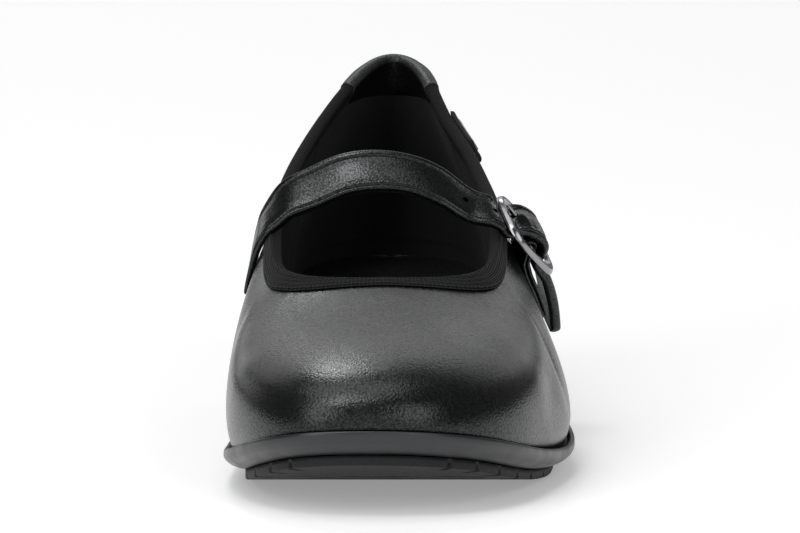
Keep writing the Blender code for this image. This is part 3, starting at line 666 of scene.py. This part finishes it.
def bridged(medial, lateral, columns, top=plain, bottom=plain, evenness=0.0, every=1):
    """Sections between two walls: the top from medial to lateral, down the lateral wall, back across the
    bottom and up the medial wall. The columns crowd to the edges by the cosine of an even turn, mixed with
    even ones, and the top has one for every so many of the bottom's."""
    even = np.linspace(0, 1, columns)[1:-1]
    shares = (1 - np.cos(even * np.pi)) / 2 * (1 - evenness) + even * evenness
    over = [top(medial[0] * (1 - s) + lateral[0] * s, s) for s in shares[::every]]
    under = [bottom(lateral[-1] * (1 - s) + medial[-1] * s, 1 - s) for s in shares]
    return np.stack(over + lateral + under + medial[::-1], axis=1)


def along_sole(count):
    """Loop positions from the toe to the back, closer together at both ends."""
    return BACK * (1 - np.cos(np.linspace(0, np.pi, count))) / 2


def across_sole(u, side_rows, columns, **faces):
    """Sections from the toe to the heel. side_rows lists each wall point's (off, height function)."""
    walls = [[sole_point(where, off, height) for off, height in side_rows] for where in (u, AROUND - u)]
    return bridged(*walls, columns, **faces)


def sock_top(points, share):
    """The sock's upper face: a shallow bowl for the heel, and a swell over the heel cushion."""
    d, bowl = points[..., 1], (2 * share - 1)**2
    points = points.copy()
    points[..., 2] += 0.9 * step(d, 150, 200) * (bowl - 0.6) + 0.25 * step(d, 182, 186) * (1 - bowl)
    return points


walls = [(-INSOLE_INSET - inset, above_seat(rise)) for inset, rise in SOCK_EDGE]
sections = across_sole(along_sole(300), walls, 60, top=sock_top)
insole = piece("leather_sock", sections, ["insole"], capped=False)
insole.data.materials.append(calf("sock_leather", grain=0.9, depth=0.08, shine=0.5,
                                  colour=(0.004, 0.004, 0.0042)))


# ---- Midsole ----------------------------------------------
# One moulding of satin black polyurethane. A groove and a narrow ledge with a fine mould line run round the
# upper, and the side wall rolls under to the tread.

BAND = 5.2
LIP = 2.6
# Out from the feather line and down from the seat: a groove by the upper, the ledge with its mould line,
# then the wall and its roll under.
PROFILE = (
    (-0.4, 0.95), (0.7, 0.95), (0.95, 0.35), (1.15, -0.1), (LIP - 1.0, -0.24), (LIP - 0.72, -0.1),
    (LIP - 0.5, -0.2), (LIP - 0.2, -0.05), (LIP, 0.6), (LIP, 2.0), (LIP - 0.7, 3.1), (LIP - 2.1, 4.2),
    (LIP - 3.9, 4.95), (-2.4, BAND),
)


def below_seat(drop):
    return above_seat(-drop)


knots = distances(np.array(PROFILE))
places = np.linspace(0, knots[-1], 44)
profile = np.stack([np.interp(places, knots, column) for column in np.array(PROFILE).T], axis=1)
profile[1:-1] = (profile[:-2] + 2 * profile[1:-1] + profile[2:]) / 4
walls = [(off, below_seat(drop)) for off, drop in profile]
midsole = piece("midsole_moulding", across_sole(along_sole(420), walls, 24), ["midsole"],
                capped=False)
moulded, tree, shader = finish("satin_moulded_sole", (0.009, 0.010, 0.012), 0.36, Specular_IOR_Level=0.68)
where = node(tree, "TexCoord").outputs["Object"]
broad = noise(tree, where, 160.0, 4.0)
specks = node(tree, "TexVoronoi", Vector=where, Scale=520.0)
bump = node(tree, "Bump", Height=noise(tree, where, 3200.0, 2.0), Distance=0.02 * MM)
bumped(tree, shader, broad, 0.08 * MM, Normal=bump.outputs[0])
shine = ramped(tree, broad, 0.35, 0.65, 0.32, 0.42)
speck = ramped(tree, specks.outputs["Distance"], 0.03, 0.06, 0.3, 0.0)
node(tree, "Math", to=shader.inputs["Roughness"], i0=shine, i1=speck)
midsole.data.materials.append(moulded)


# ---- Heel -------------------------------------------------
# A low block in the midsole's own material, drawn in slightly towards the floor, with a slanting breast.

HEEL_TREAD = 3.6


def level(z):
    return lambda d: z + 0 * d


# Its wall from the top down: the loop position where its breast is, how far out, and the height
HEEL_ROWS = (
    (9.25, 0.4, below_seat(BAND + 0.3)), (9.3, -0.3, level(17.0)), (9.4, -1.6, level(8.0)),
    (9.45, -2.2, level(HEEL_TREAD + 0.3)),
)


def rearward(start, count):
    """Loop positions from start to the back, closer together towards the back."""
    return start + (BACK - start) * (1 - (1 - np.linspace(0, 1, count))**1.6)


def block(rows, count, steps, columns):
    """Sections of the heel, front to back. Between its rows the wall is a smooth curve of steps points."""
    knots = np.linspace(0, 1, len(rows))
    share = np.linspace(0, 1, steps)
    walls = []
    for side in (-1, 1):
        given = []
        for start, off, height in rows:
            u = rearward(start, count)
            given.append(sole_point(u if side < 0 else AROUND - u, off, height))
        walls.append(list(smooth(knots, np.reshape(given, (len(rows), -1)), share).reshape(steps, count, 3)))
    return bridged(*walls, columns)


heel = piece("heel_moulding", block(HEEL_ROWS, 150, 30, 24), ["heel_block"])
heel.data.materials.append(moulded)


# ---- Treads -----------------------------------------------
# Matt black rubber. Blocks stand round the edge of the forefoot with plain gaps between them and fine waved
# sipes across the middle. The heel's piece has cross grooves.

TREAD = 2.7
TREAD_INSET = 3.3
TREAD_TO = 7.7
GROOVE = 1.7
WAIST_TREAD = 1.2
WAIST_FROM, WAIST_LENGTH = 112.0, 34.0
# Gaps between the edge blocks: loop position on the medial and on the lateral side, and width
GAPS = (
    (1.75, 1.55, 1.3), (2.45, 2.2, 1.2), (3.15, 2.85, 1.2),
    (3.75, 3.45, 1.2), (4.3, 4.0, 1.2), (4.85, 4.55, 1.2),
)
GAP_REACH = 5.0
SIPE_STEP = 7.0
HEEL_GROOVES = (212.0, 226.0, 240.0)
# Their walls from the top down to a rounded lower edge: how far in, and the lift above the cut underside
FOREFOOT_WALL = (
    (TREAD_INSET, None), (TREAD_INSET, 1.6), (TREAD_INSET, 0.9), (TREAD_INSET, 0.45),
    (TREAD_INSET + 0.15, 0.12), (TREAD_INSET + 0.5, 0.0),
)
HEEL_WALL = ((2.2, None), (2.25, 1.6), (2.3, 0.9), (2.4, 0.5), (2.6, 0.15), (2.9, 0.0))


def forefoot_floor(points):
    """Underside of the forefoot's tread: level under the ball, rising towards the toe and thinning at the
    waist, with the gaps and sipes cut up into it."""
    x, d = points[..., 0], points[..., 1]
    thinned = (TREAD - WAIST_TREAD) * np.clip((d - WAIST_FROM) / WAIST_LENGTH, 0, 1)**2
    cut = np.zeros_like(x)
    for medial, lateral, wide in GAPS:
        for u in (medial, AROUND - lateral):
            u = np.array([u])
            base, out = feather(u)[0, :2], outward(feather, u)[0]
            reach = (x - base[0]) * out[0] + (d - base[1]) * out[1]
            aside = (x - base[0]) * out[1] - (d - base[1]) * out[0]
            here = step(np.abs(aside), wide / 2 + 0.25, wide / 2 - 0.25)
            gap_end = -TREAD_INSET - GAP_REACH
            cut = np.maximum(cut, here * step(reach, gap_end, gap_end + 1.2))
    sipe = np.abs((d + 2.2 * np.sin(x / 4.2)) % SIPE_STEP - SIPE_STEP / 2)
    middle = step(np.abs(x + 1), 24, 22) * step(d, 30, 33) * step(d, 118, 115)
    cut = np.maximum(cut, 0.6 * middle * step(sipe, 0.75, 0.4))
    return seat(d) - BALL_SEAT + thinned + GROOVE * cut


def heel_floor(points):
    """Underside of the heel's tread: level, with three cross grooves, slightly bent."""
    bent = points[..., 1] + 0.004 * points[..., 0]**2
    return GROOVE * sum(step(np.abs(bent - middle), 1.3, 0.8) for middle in HEEL_GROOVES)


def treaded(walls, floor, columns):
    """Sections of a tread: level on top and cut away underneath."""
    def cut(points, share):
        points[..., 2] = floor(points)
        return points

    return bridged(*walls, columns, bottom=cut, evenness=0.5, every=8)


def tread_wall(u, wall, top, under):
    """Wall rows: the first at the top's height, the others a given lift above the cut underside."""
    rows = []
    for inset, lift in wall:
        points = sole_point(u, -inset, level(0))
        low, high = under(points), top(points[..., 1])
        points[..., 2] = high if lift is None else np.minimum(low + lift, high)
        rows.append(points)
    return rows


u = TREAD_TO * (1 - np.cos(np.linspace(0, np.pi * 0.85, 560))) / (1 - np.cos(np.pi * 0.85))
top = below_seat(BAND + 0.3)
walls = [tread_wall(where, FOREFOOT_WALL, top, forefoot_floor) for where in (u, AROUND - u)]
sections = treaded(walls, forefoot_floor, 96)
forefoot = piece("forefoot_blocks", sections, ["forefoot_tread"])
u = rearward(HEEL_ROWS[-1][0], 220)
walls = [tread_wall(where, HEEL_WALL, level(HEEL_TREAD), heel_floor) for where in (u, AROUND - u)]
heel_piece = piece("heel_top_piece", treaded(walls, heel_floor, 90), ["heel_tread"])
rubber, tree, shader = finish("matt_tread_rubber", (0.007, 0.0073, 0.0076), 0.62, Specular_IOR_Level=0.35)
where = node(tree, "TexCoord").outputs["Object"]
fine = noise(tree, where, 1500.0, 4.0)
bumped(tree, shader, fine, 0.08 * MM)
ramped(tree, fine, 0.3, 0.7, 0.55, 0.7, to=shader.inputs["Roughness"])
forefoot.data.materials.append(rubber)
heel_piece.data.materials.append(rubber)


# ---- Strap ------------------------------------------------
# Two layers of calf over a thin core, edges turned and sewn with a row along each side. It is sewn to the
# medial quarter, crosses the instep, goes up through the buckle and over its bar, and its end hangs free.

STRAP_WIDTH = 13.2
TIP_CORNER = 2.8
UPPER_ROW, LOWER_ROW = 2.2, 1.55      # the two rows of stitching, in from their edges
PRONG_RADIUS = 0.7
HOLE_RADIUS, HOLE_STEP = 0.9, 8.6     # the other holes, two to each side of the prong's
# Its thickness by distance from its sewn end: thin where it is sewn down, and through the buckle
THICKNESS = ((0.0, 2.0), (14.0, 2.0), (24.0, 2.6), (70.0, 2.6), (92.0, 2.2), (112.0, 2.3), (124.0, 3.0))
STRAP_SHIFT = -0.6
# Sewn part: height up the rib, d, the strap's middle off the leather, turn of its width away from it
STRAP_FOOT = (
    ("sewn_end", 0.62, 130.5, 1.05, 0.0), ("quarter", 0.70, 129.8, 1.1, 1.0),
    ("below_binding", 0.78, 129.0, 1.2, 2.5), ("binding_edge", 0.87, 128.3, 1.8, 4.0),
    ("binding", 0.94, 127.8, 2.3, 6.0), ("top_edge", 1.0, 127.3, 2.6, 10.0),
)
# Over the instep, the middle of its thickness: x, d, z, then its width's tilt from level and turn outwards
STRAP = (
    ("shoulder", -34.9, 126.7, 64.4, 26.0, 10.0),
    ("rise", -31.4, 126.0, 68.3, 43.0, 5.0),
    ("arch_a", -24.7, 125.8, 71.7, 51.3, 2.0),
    ("arch_b", -16.3, 126.0, 75.4, 53.1, 0.0),
    ("crown", -6.1, 126.2, 76.8, 50.4, 0.0),
    ("arch_c", 4.8, 126.2, 75.1, 43.9, 0.0),
    ("arch_d", 13.5, 125.8, 70.8, 38.3, 0.0),
    ("fall", 20.0, 125.8, 66.8, 31.8, 0.0),
)
# Through the buckle, along and above the plane of its ring: under, over the bar, under, then free
THREADING = (
    (-12.6, -2.3), (-11.0, -2.25), (-9.0, -2.2), (-7.7, -1.3), (-6.7, 0.3), (-5.5, 1.8), (-3.7, 2.9),
    (-1.2, 3.5), (1.2, 3.5), (3.0, 2.9), (4.3, 1.5), (5.0, -0.3), (6.0, -2.0), (8.4, -2.75), (11.8, -2.95),
    (16.1, -4.1), (21.1, -6.1), (27.0, -9.1), (31.8, -11.9),
)
RING_CENTRE = (34.6, 133.0, 58.3)
RING_NORMAL = (0.806, -0.100, 0.583)
RING_ACROSS = (-0.270, 0.820, 0.500)


def ring_point(along, across, above):
    """Point in the buckle's own directions: along the strap, across it and out of the ring's plane."""
    normal, width = unit(np.array(RING_NORMAL)), np.array(RING_ACROSS)
    width = unit(width - normal * np.dot(width, normal))
    length = np.cross(width, normal)
    length = length * np.sign(-length[2])
    parts = np.broadcast_arrays(*(np.asarray(p, float) for p in (along, across, above)))
    return np.array(RING_CENTRE) + sum(p[..., None] * axis for p, axis in zip(parts, (length, width, normal)))


def strap_line(count):
    """The strap's middle line and its width's direction at even distances, and those distances."""
    height, behind, lift, turn = numbers(STRAP_FOOT).T
    line = np.linspace(4.0, 9.0, 101)
    u = np.array([np.interp(d, skin(line, v)[:, 1], line) for v, d in zip(height, behind)])
    turn = np.radians(turn)[:, None]
    foot, level_axis = skin(u, height, lift), unit(skin(u + 0.2, height) - skin(u - 0.2, height))
    foot_axes = np.cos(turn) * level_axis + np.sin(turn) * (skin(u, height, lift + 1.0) - foot)
    rows = numbers(STRAP)
    tilt, turn = np.radians(rows[:, 3:]).T
    arch_axes = np.stack([-np.sin(turn), np.cos(turn) * np.cos(tilt), np.cos(turn) * np.sin(tilt)], axis=1)
    axes = np.concatenate([foot_axes, arch_axes])
    threading = np.array(THREADING)
    shift = np.interp(threading[:, 0], (-12.8, 6.0), (STRAP_SHIFT, 0))
    tail = ring_point(threading[:, 0], shift, threading[:, 1])
    points = np.concatenate([foot, rows[:, :3], tail])
    axes = np.concatenate([axes, np.tile(np.array(RING_ACROSS), (len(tail), 1))])
    steps = distances(points)
    run = np.linspace(0, steps[-1], count)
    return smooth(steps, points, run), smooth(steps, axes, run), run


def frame_along(path, width):
    """Directions ahead, across and out of a strip that follows a path with its width along width."""
    ahead = unit(np.gradient(path, axis=0))
    across = unit(width - ahead * np.sum(width * ahead, axis=1, keepdims=True))
    return ahead, across, np.cross(ahead, across)


def strip(path, width, half, upper_face, lower_face, columns):
    """Sections of a flat strip: over its upper face and back under its lower one. Both faces are heights by
    distance in from the edge, and close in a half round at the edges."""
    _, across, out = frame_along(path, width)
    share = np.linspace(-1, 1, columns)
    x = half[:, None] * share
    inset = half[:, None] - np.abs(x)
    over, under = upper_face(inset, x), lower_face(inset[:, 1:-1:2], x[:, 1:-1:2])
    aside, height = np.concatenate([x, x[:, -2:0:-2]], axis=1), np.concatenate([over, under[:, ::-1]], axis=1)
    return path[:, None] + across[:, None] * aside[..., None] + out[:, None] * height[..., None]


def turned_edge(inset, thick, radius):
    """Half of a strip's thickness: a quarter ellipse at the edge, full beyond radius."""
    return thick / 2 * np.sqrt(np.clip(1 - np.clip(1 - inset / radius, 0, 1)**2, 0, 1))


path, width, run = strap_line(760)
left = run[-1] - run
half = STRAP_WIDTH / 2 - TIP_CORNER + TIP_CORNER * np.sqrt(1 - np.clip(1 - left / TIP_CORNER, 0, 1)**2)
closing = np.sqrt(1 - 0.98 * np.clip(1 - np.minimum(run, left) / 0.8, 0, 1)**2)[:, None]
to_bar = np.linalg.norm(path - ring_point(-6.6, STRAP_SHIFT, 1.2), axis=1)
prong_at = run[np.argmin(to_bar)]
full = np.interp(run, *zip(*THICKNESS))[:, None]
thinned = 0.5 * (1 - step(run, 2, 13))[:, None]


def strap_face(inset, x):
    """Padded middle, a stitching channel along each edge, and creases where it bends at the buckle."""
    at = run[:, None]
    crease = 0.06 * bell(at, prong_at + 3, 9) * (np.sin(at * 2.6 + 0.5 * x) + np.sin(at * 1.3 - 0.9 * x))
    flat = turned_edge(inset, full, 0.95) - thinned * step(inset, 0, 0.6)
    row = np.where(x > 0, UPPER_ROW, LOWER_ROW)
    near_hole = bell(at, prong_at, 3.2) * (0.5 * bell(x, 0, 1.6) - 0.35 * bell(np.abs(x), 3.4, 1.5))
    shaped = 0.16 * step(inset, row + 0.4, row + 2.6) - 0.42 * bell(inset, row, 0.3)
    return (flat + shaped + (crease + near_hole) * step(inset, 1.0, 2.5)) * closing


def strap_back(inset, x):
    return -turned_edge(inset, full, 0.95) * closing


strap = piece("instep_strap", strip(path, width, half, strap_face, strap_back, 73),
              ["strap"])
strap.data.materials.append(calf("strap_calf", grain=0.6, depth=0.04, shine=0.25))
_, across, out = frame_along(path, width)
top_face = full / 2 - thinned
for name, side, inset in (("upper", 1, UPPER_ROW), ("lower", -1, LOWER_ROW)):
    keep = (run > 1.5) & (left > 2.2)
    row = path + across * side * (half - inset)[:, None] + out * (top_face - 0.3)
    stitches(f"strap_stitches_{name}", row[keep], out[keep], "strap_leather")
for name, at in (("sewn", np.sum(run < 1.6)), ("free", np.sum(left > 1.9))):
    reach = np.linspace(-4.4, 4.0, 30)[:, None]
    end = path[at] + across[at] * reach + out[at] * (top_face[at] + 0.12)
    stitches(f"strap_stitches_{name}_end", end, np.tile(out[at], (30, 1)), "strap_leather")


def rod_rings(middle, radius, sides):
    """Round sections of the given radii along middle, square to the line from its first point to its last."""
    axis = unit(middle[-1] - middle[0])
    first = unit(np.cross(axis, (0.3, 0.9, 0.2)))
    second = np.cross(axis, first)
    turn = turned(sides)
    ring = first * np.cos(turn)[:, None] + second * np.sin(turn)[:, None]
    return middle[:, None] + ring * radius[:, None, None]


def prong_height(along):
    """The prong lies from the bar up to the ring's band, above the plane of the ring."""
    return np.interp(along, (-14.0, -2.9), (2.4, 0.6))


through = np.linspace(-10.8, -1.6, 5)
holes = [ring_point(through, 0, prong_height(through))]
for k in (-2, -1, 1, 2):
    at = np.argmin(np.abs(run - prong_at - k * HOLE_STEP))
    holes.append(path[at] + out[at] * np.linspace(-3, 3, 5)[:, None])
for middle in holes:
    size = PRONG_RADIUS + 0.35 if middle is holes[0] else HOLE_RADIUS
    cutter = piece("hole", rod_rings(middle, np.full(5, size), 20), [])
    change = strap.modifiers.new("hole", "BOOLEAN")
    change.object, change.solver = cutter, "EXACT"
    bpy.context.view_layer.objects.active = strap
    bpy.ops.object.modifier_apply(modifier=change.name)
    bpy.data.objects.remove(cutter)
strap.data.set_sharp_from_angle(angle=np.radians(50))


# ---- Buckle -----------------------------------------------
# Polished dark nickel. The ring is a flat rounded band, wider where the strap leaves it, with a round bar
# across its middle and a plain prong that lies over the strap.

RING_HALF = 11.9
RING_SQUARE = 3.0
BAR_RADIUS = 1.0
BAR_DROP = 0.35
PRONG_TIP, PRONG_HEEL = -12.6, -3.0
# The band's section: share of the way out from the inner edge, and height
BAND_SECTION = ((0.0, -0.7), (0.06, -0.05), (0.35, 1.0), (0.8, 0.95), (1.0, -0.05), (1.0, -0.75), (0.6, -0.9))

section = rounded_section(BAND_SECTION, 56, 3)
turn = turned(260)
wide = 2.8 - 0.9 * np.cos(turn)
half = RING_HALF - 0.35 * (1 + np.sin(turn))
squareness = (np.abs(np.cos(turn))**RING_SQUARE + np.abs(np.sin(turn))**RING_SQUARE)**(-1 / RING_SQUARE)
radius = (half[:, None] - wide[:, None] * (1 - section[:, 0])) * squareness[:, None]
height = section[:, 1] + 0 * radius
rings = ring_point(-np.cos(turn)[:, None] * radius, np.sin(turn)[:, None] * radius, height)
ring = piece("buckle_band", rings, ["buckle_ring"], loop=True)
reach = RING_HALF - 2.0
middle = ring_point(np.zeros(3), np.linspace(-reach, reach, 3), np.full(3, -BAR_DROP))
bar = piece("buckle_bar", rod_rings(middle, np.full(3, BAR_RADIUS), 32), [])
from_tip = np.linspace(0, PRONG_HEEL - PRONG_TIP, 40)
along = PRONG_TIP + from_tip
bow = 0.12 * np.sin(from_tip / from_tip[-1] * np.pi)
middle = ring_point(along, 0 * along, prong_height(along) + bow)
taper = np.minimum(1, 0.55 + 0.45 * from_tip / 3)
rounding = np.sqrt(1 - (1 - (from_tip + 0.02) / 0.5).clip(0)**2)
prong = piece("buckle_pin", rod_rings(middle, PRONG_RADIUS * taper * rounding, 24),
              ["buckle_prong"])
nickel, tree, shader = finish("dark_nickel", (0.30, 0.30, 0.31), 0.16, Metallic=1.0)
where = node(tree, "TexCoord").outputs["Object"]
haze = noise(tree, where, 700.0, 3.0)
ramped(tree, haze, 0.3, 0.7, 0.12, 0.24, to=shader.inputs["Roughness"])
bumped(tree, shader, haze, 0.008 * MM)
for metal in (ring, bar, prong):
    metal.data.materials.append(nickel)


# ---- Buckle tab -------------------------------------------
# A strip of the strap's leather, folded round the bar and sewn down to the lateral quarter.

TAB_HALF = 6.0
TAB_LAYER = 1.15
LOOP_LAYER = 0.85
# Where its two layers meet, along and above the plane of the ring
TAB_PATH = (
    (22.0, -10.3), (20.0, -9.6), (18.0, -8.95), (16.0, -8.3), (14.0, -7.7), (12.0, -7.1), (10.0, -6.6),
    (8.0, -6.0), (6.0, -5.2), (4.0, -4.15),
)

middle = np.array(TAB_PATH)
ahead = unit(np.gradient(middle, axis=0))
beside = np.stack([ahead[:, 1], -ahead[:, 0]], axis=1)
turn = np.radians(np.linspace(-75, -325, 14))
loop_radius = BAR_RADIUS + 0.3 + LOOP_LAYER / 2
wrap = np.stack([np.cos(turn) * loop_radius, np.sin(turn) * loop_radius - BAR_DROP], axis=1)
under, over = middle - beside * 0.6, (middle + beside * 0.6)[::-1]
knots = np.concatenate([under, wrap, [(2.9, -1.9)], over])
steps = distances(knots)
run = np.linspace(0, steps[-1], 420)
flat = smooth(steps, knots, run)
folded_at = np.minimum(run, run[-1] - run)
spread = 1.25 * step(flat[:, 0], 5, 13)
path = ring_point(flat[:, 0], -spread, flat[:, 1])
width = np.tile(np.array(RING_ACROSS), (len(path), 1))
changes = [steps[k] for k in (len(under) - 1, len(under) + 1, -len(over) - 2, -len(over))]
thin = np.interp(run, changes, (TAB_LAYER, LOOP_LAYER, LOOP_LAYER, TAB_LAYER))[:, None]
closing = np.sqrt(1 - 0.9 * np.clip(1 - folded_at / 0.5, 0, 1)**2)[:, None]
half = TAB_HALF + spread


def tab_face(inset, x):
    return (thin * turned_edge(inset, 1.0, 0.5) - 0.12 * bell(inset, 1.4, 0.3)) * closing


def tab_back(inset, x):
    return -thin * turned_edge(inset, 1.0, 0.5) * closing


tab = piece("buckle_chape", strip(path, width, half, tab_face, tab_back, 49), ["buckle_tab"])
tab.data.materials.append(strap.data.materials[0])


# ---- Side tab ---------------------------------------------
# A small woven tab sewn over the lateral topline in front of the heel, with a bare satin metal plate.

SIDE_TAB_FROM, SIDE_TAB_TO = 9.15, 9.95
# Its section and its plate's, up from the topline and off the elastic
TAB_SECTION = (
    (-6.5, 1.1), (-6.6, 1.7), (-6.3, 2.3), (-5.4, 2.6), (-4.2, 2.4), (-3.0, 1.95), (-1.0, 1.5), (0.0, 1.3),
    (0.45, 0.9), (0.6, 0.4), (0.6, 0.0), (-1.0, 0.0), (-3.0, 0.3), (-4.2, 0.7), (-5.4, 0.95), (-6.1, 0.95),
)
PLATE_SECTION = ((-4.3, 2.2), (-4.2, 2.75), (-3.9, 2.8), (-1.2, 2.0), (-0.8, 1.8), (-0.7, 1.25))

u = AROUND - np.linspace(SIDE_TAB_FROM, SIDE_TAB_TO, 90)
under = GAP + ELASTIC + GAP
one = np.ones((len(u), 1))
section = rounded_section(TAB_SECTION, 80, 2)
rows = rim(u, one * section[:, 0], one * section[:, 1] + under)
side_tab = piece("woven_side_tab", rows, ["side_tab"])
side_tab.data.materials.append(textile)
share = np.linspace(0, 1, 70)
u = AROUND - (SIDE_TAB_FROM + 0.1 + (SIDE_TAB_TO - SIDE_TAB_FROM - 0.2) * share)
section = np.array(PLATE_SECTION)
fall = 0.25 * step(np.abs(share - 0.5), 0.46, 0.5)[:, None]
rows = rim(u, np.ones((70, 1)) * section[:, 0], under + section[:, 1] - fall)
plate = piece("bare_side_plate", rows, [])
steel, tree, shader = finish("satin_plate", (0.30, 0.30, 0.31), 0.35, Metallic=1.0)
where = node(tree, "UVMap").outputs[0]
stretched = node(tree, "Mapping", Vector=where, Scale=(60.0, 4000.0, 1.0)).outputs[0]
bumped(tree, shader, noise(tree, stretched, 1.0, 2.0), 0.02 * MM)
plate.data.materials.append(steel)


# ---- Table and light --------------------------------------
# White table under the shoe, and a studio of soft boxes: a tall box each side of the camera, one high on the
# left, one overhead from the left and a weak one in front. Behind are a pale wall, a lamp and two low boxes.

FLOOR_SIZE = 30.0
SHOE = np.array([0.0, -0.05, 0.05])
# Azimuth from the camera's side, positive to the right, elevation, distance, width, height, radiance, roll
SOFT_BOXES = (
    ("box_left", -41, 32, 2.0, 1.0, 2.0, 2.3, 12),
    ("top_left", -30, 65, 2.0, 0.5, 0.45, 8.5, 0),
    ("box_right", 31, 27, 2.0, 0.8, 1.6, 1.9, -8),
    ("overhead", -90, 80, 2.0, 1.5, 1.5, 1.55, 0),
    ("front_fill", 0, 14, 2.0, 0.8, 0.9, 0.7, 0),
    ("lamp_behind_left", -168, 48, 2.5, 0.4, 0.4, 12.0, 0),
    ("wall_behind", 178, 30, 2.4, 3.2, 1.15, 0.8, 0),
    ("low_behind_left", -147, 12, 2.2, 1.1, 0.6, 0.95, 0),
    ("low_behind_right", 152, 12, 2.2, 0.6, 0.5, 0.6, 0),
)

mesh = bpy.data.meshes.new("white_table")
edge = FLOOR_SIZE / 2
mesh.from_pydata([(-edge, -edge, 0), (edge, -edge, 0), (edge, edge, 0), (-edge, edge, 0)], [], [(0, 1, 2, 3)])
table = added("white_table", mesh)
table.location.z = cad_box[0].z - 0.0002
white, tree, shader = finish("white_table", (0.9, 0.9, 0.9), 0.9, Specular_IOR_Level=0.0,
                             Emission_Color=(1, 1, 1, 1), Emission_Strength=0.28)
mesh.materials.append(white)

for name, azimuth, elevation, distance, wide, tall, radiance, roll in SOFT_BOXES:
    light = bpy.data.lights.new(name, "AREA")
    light.shape = "RECTANGLE"
    light.size, light.size_y = wide, tall
    light.energy = radiance * wide * tall * np.pi
    box = added(name, light)
    a, e = np.radians(azimuth), np.radians(elevation)
    away = np.array([np.sin(a) * np.cos(e), -np.cos(a) * np.cos(e), np.sin(e)])
    box.location = SHOE + away * distance
    facing = Vector(-away).to_track_quat("-Z", "Y") @ Quaternion((0, 0, 1), np.radians(roll))
    box.rotation_euler = facing.to_euler()
    box.visible_camera = False
world = bpy.data.worlds.new("studio")
bpy.context.scene.world = world
world.use_nodes = True
sky = world.node_tree.nodes["Background"].inputs
sky["Color"].default_value, sky["Strength"].default_value = (1, 1, 1, 1), 0.13
bpy.context.scene.view_settings.view_transform = "Standard"


# ---- Camera -----------------------------------------------
# A long lens straight in front of the toe and a little above the shoe.

CAMERA_FAR = 3.0
CAMERA_LIFT = 8.0
LENS = 495.5
AIM = (0.0, 85.0, 56.0)

camera = added("camera", bpy.data.cameras.new("camera"))
lift = np.radians(CAMERA_LIFT)
camera.location = placed(AIM) + CAMERA_FAR * np.array([0, -np.cos(lift), np.sin(lift)])
camera.rotation_euler = (np.pi / 2 - lift, 0, 0)
camera.data.lens = LENS
camera.data.sensor_width = 36.0
camera.data.clip_start, camera.data.clip_end = 0.1, 100.0
bpy.context.scene.camera = camera
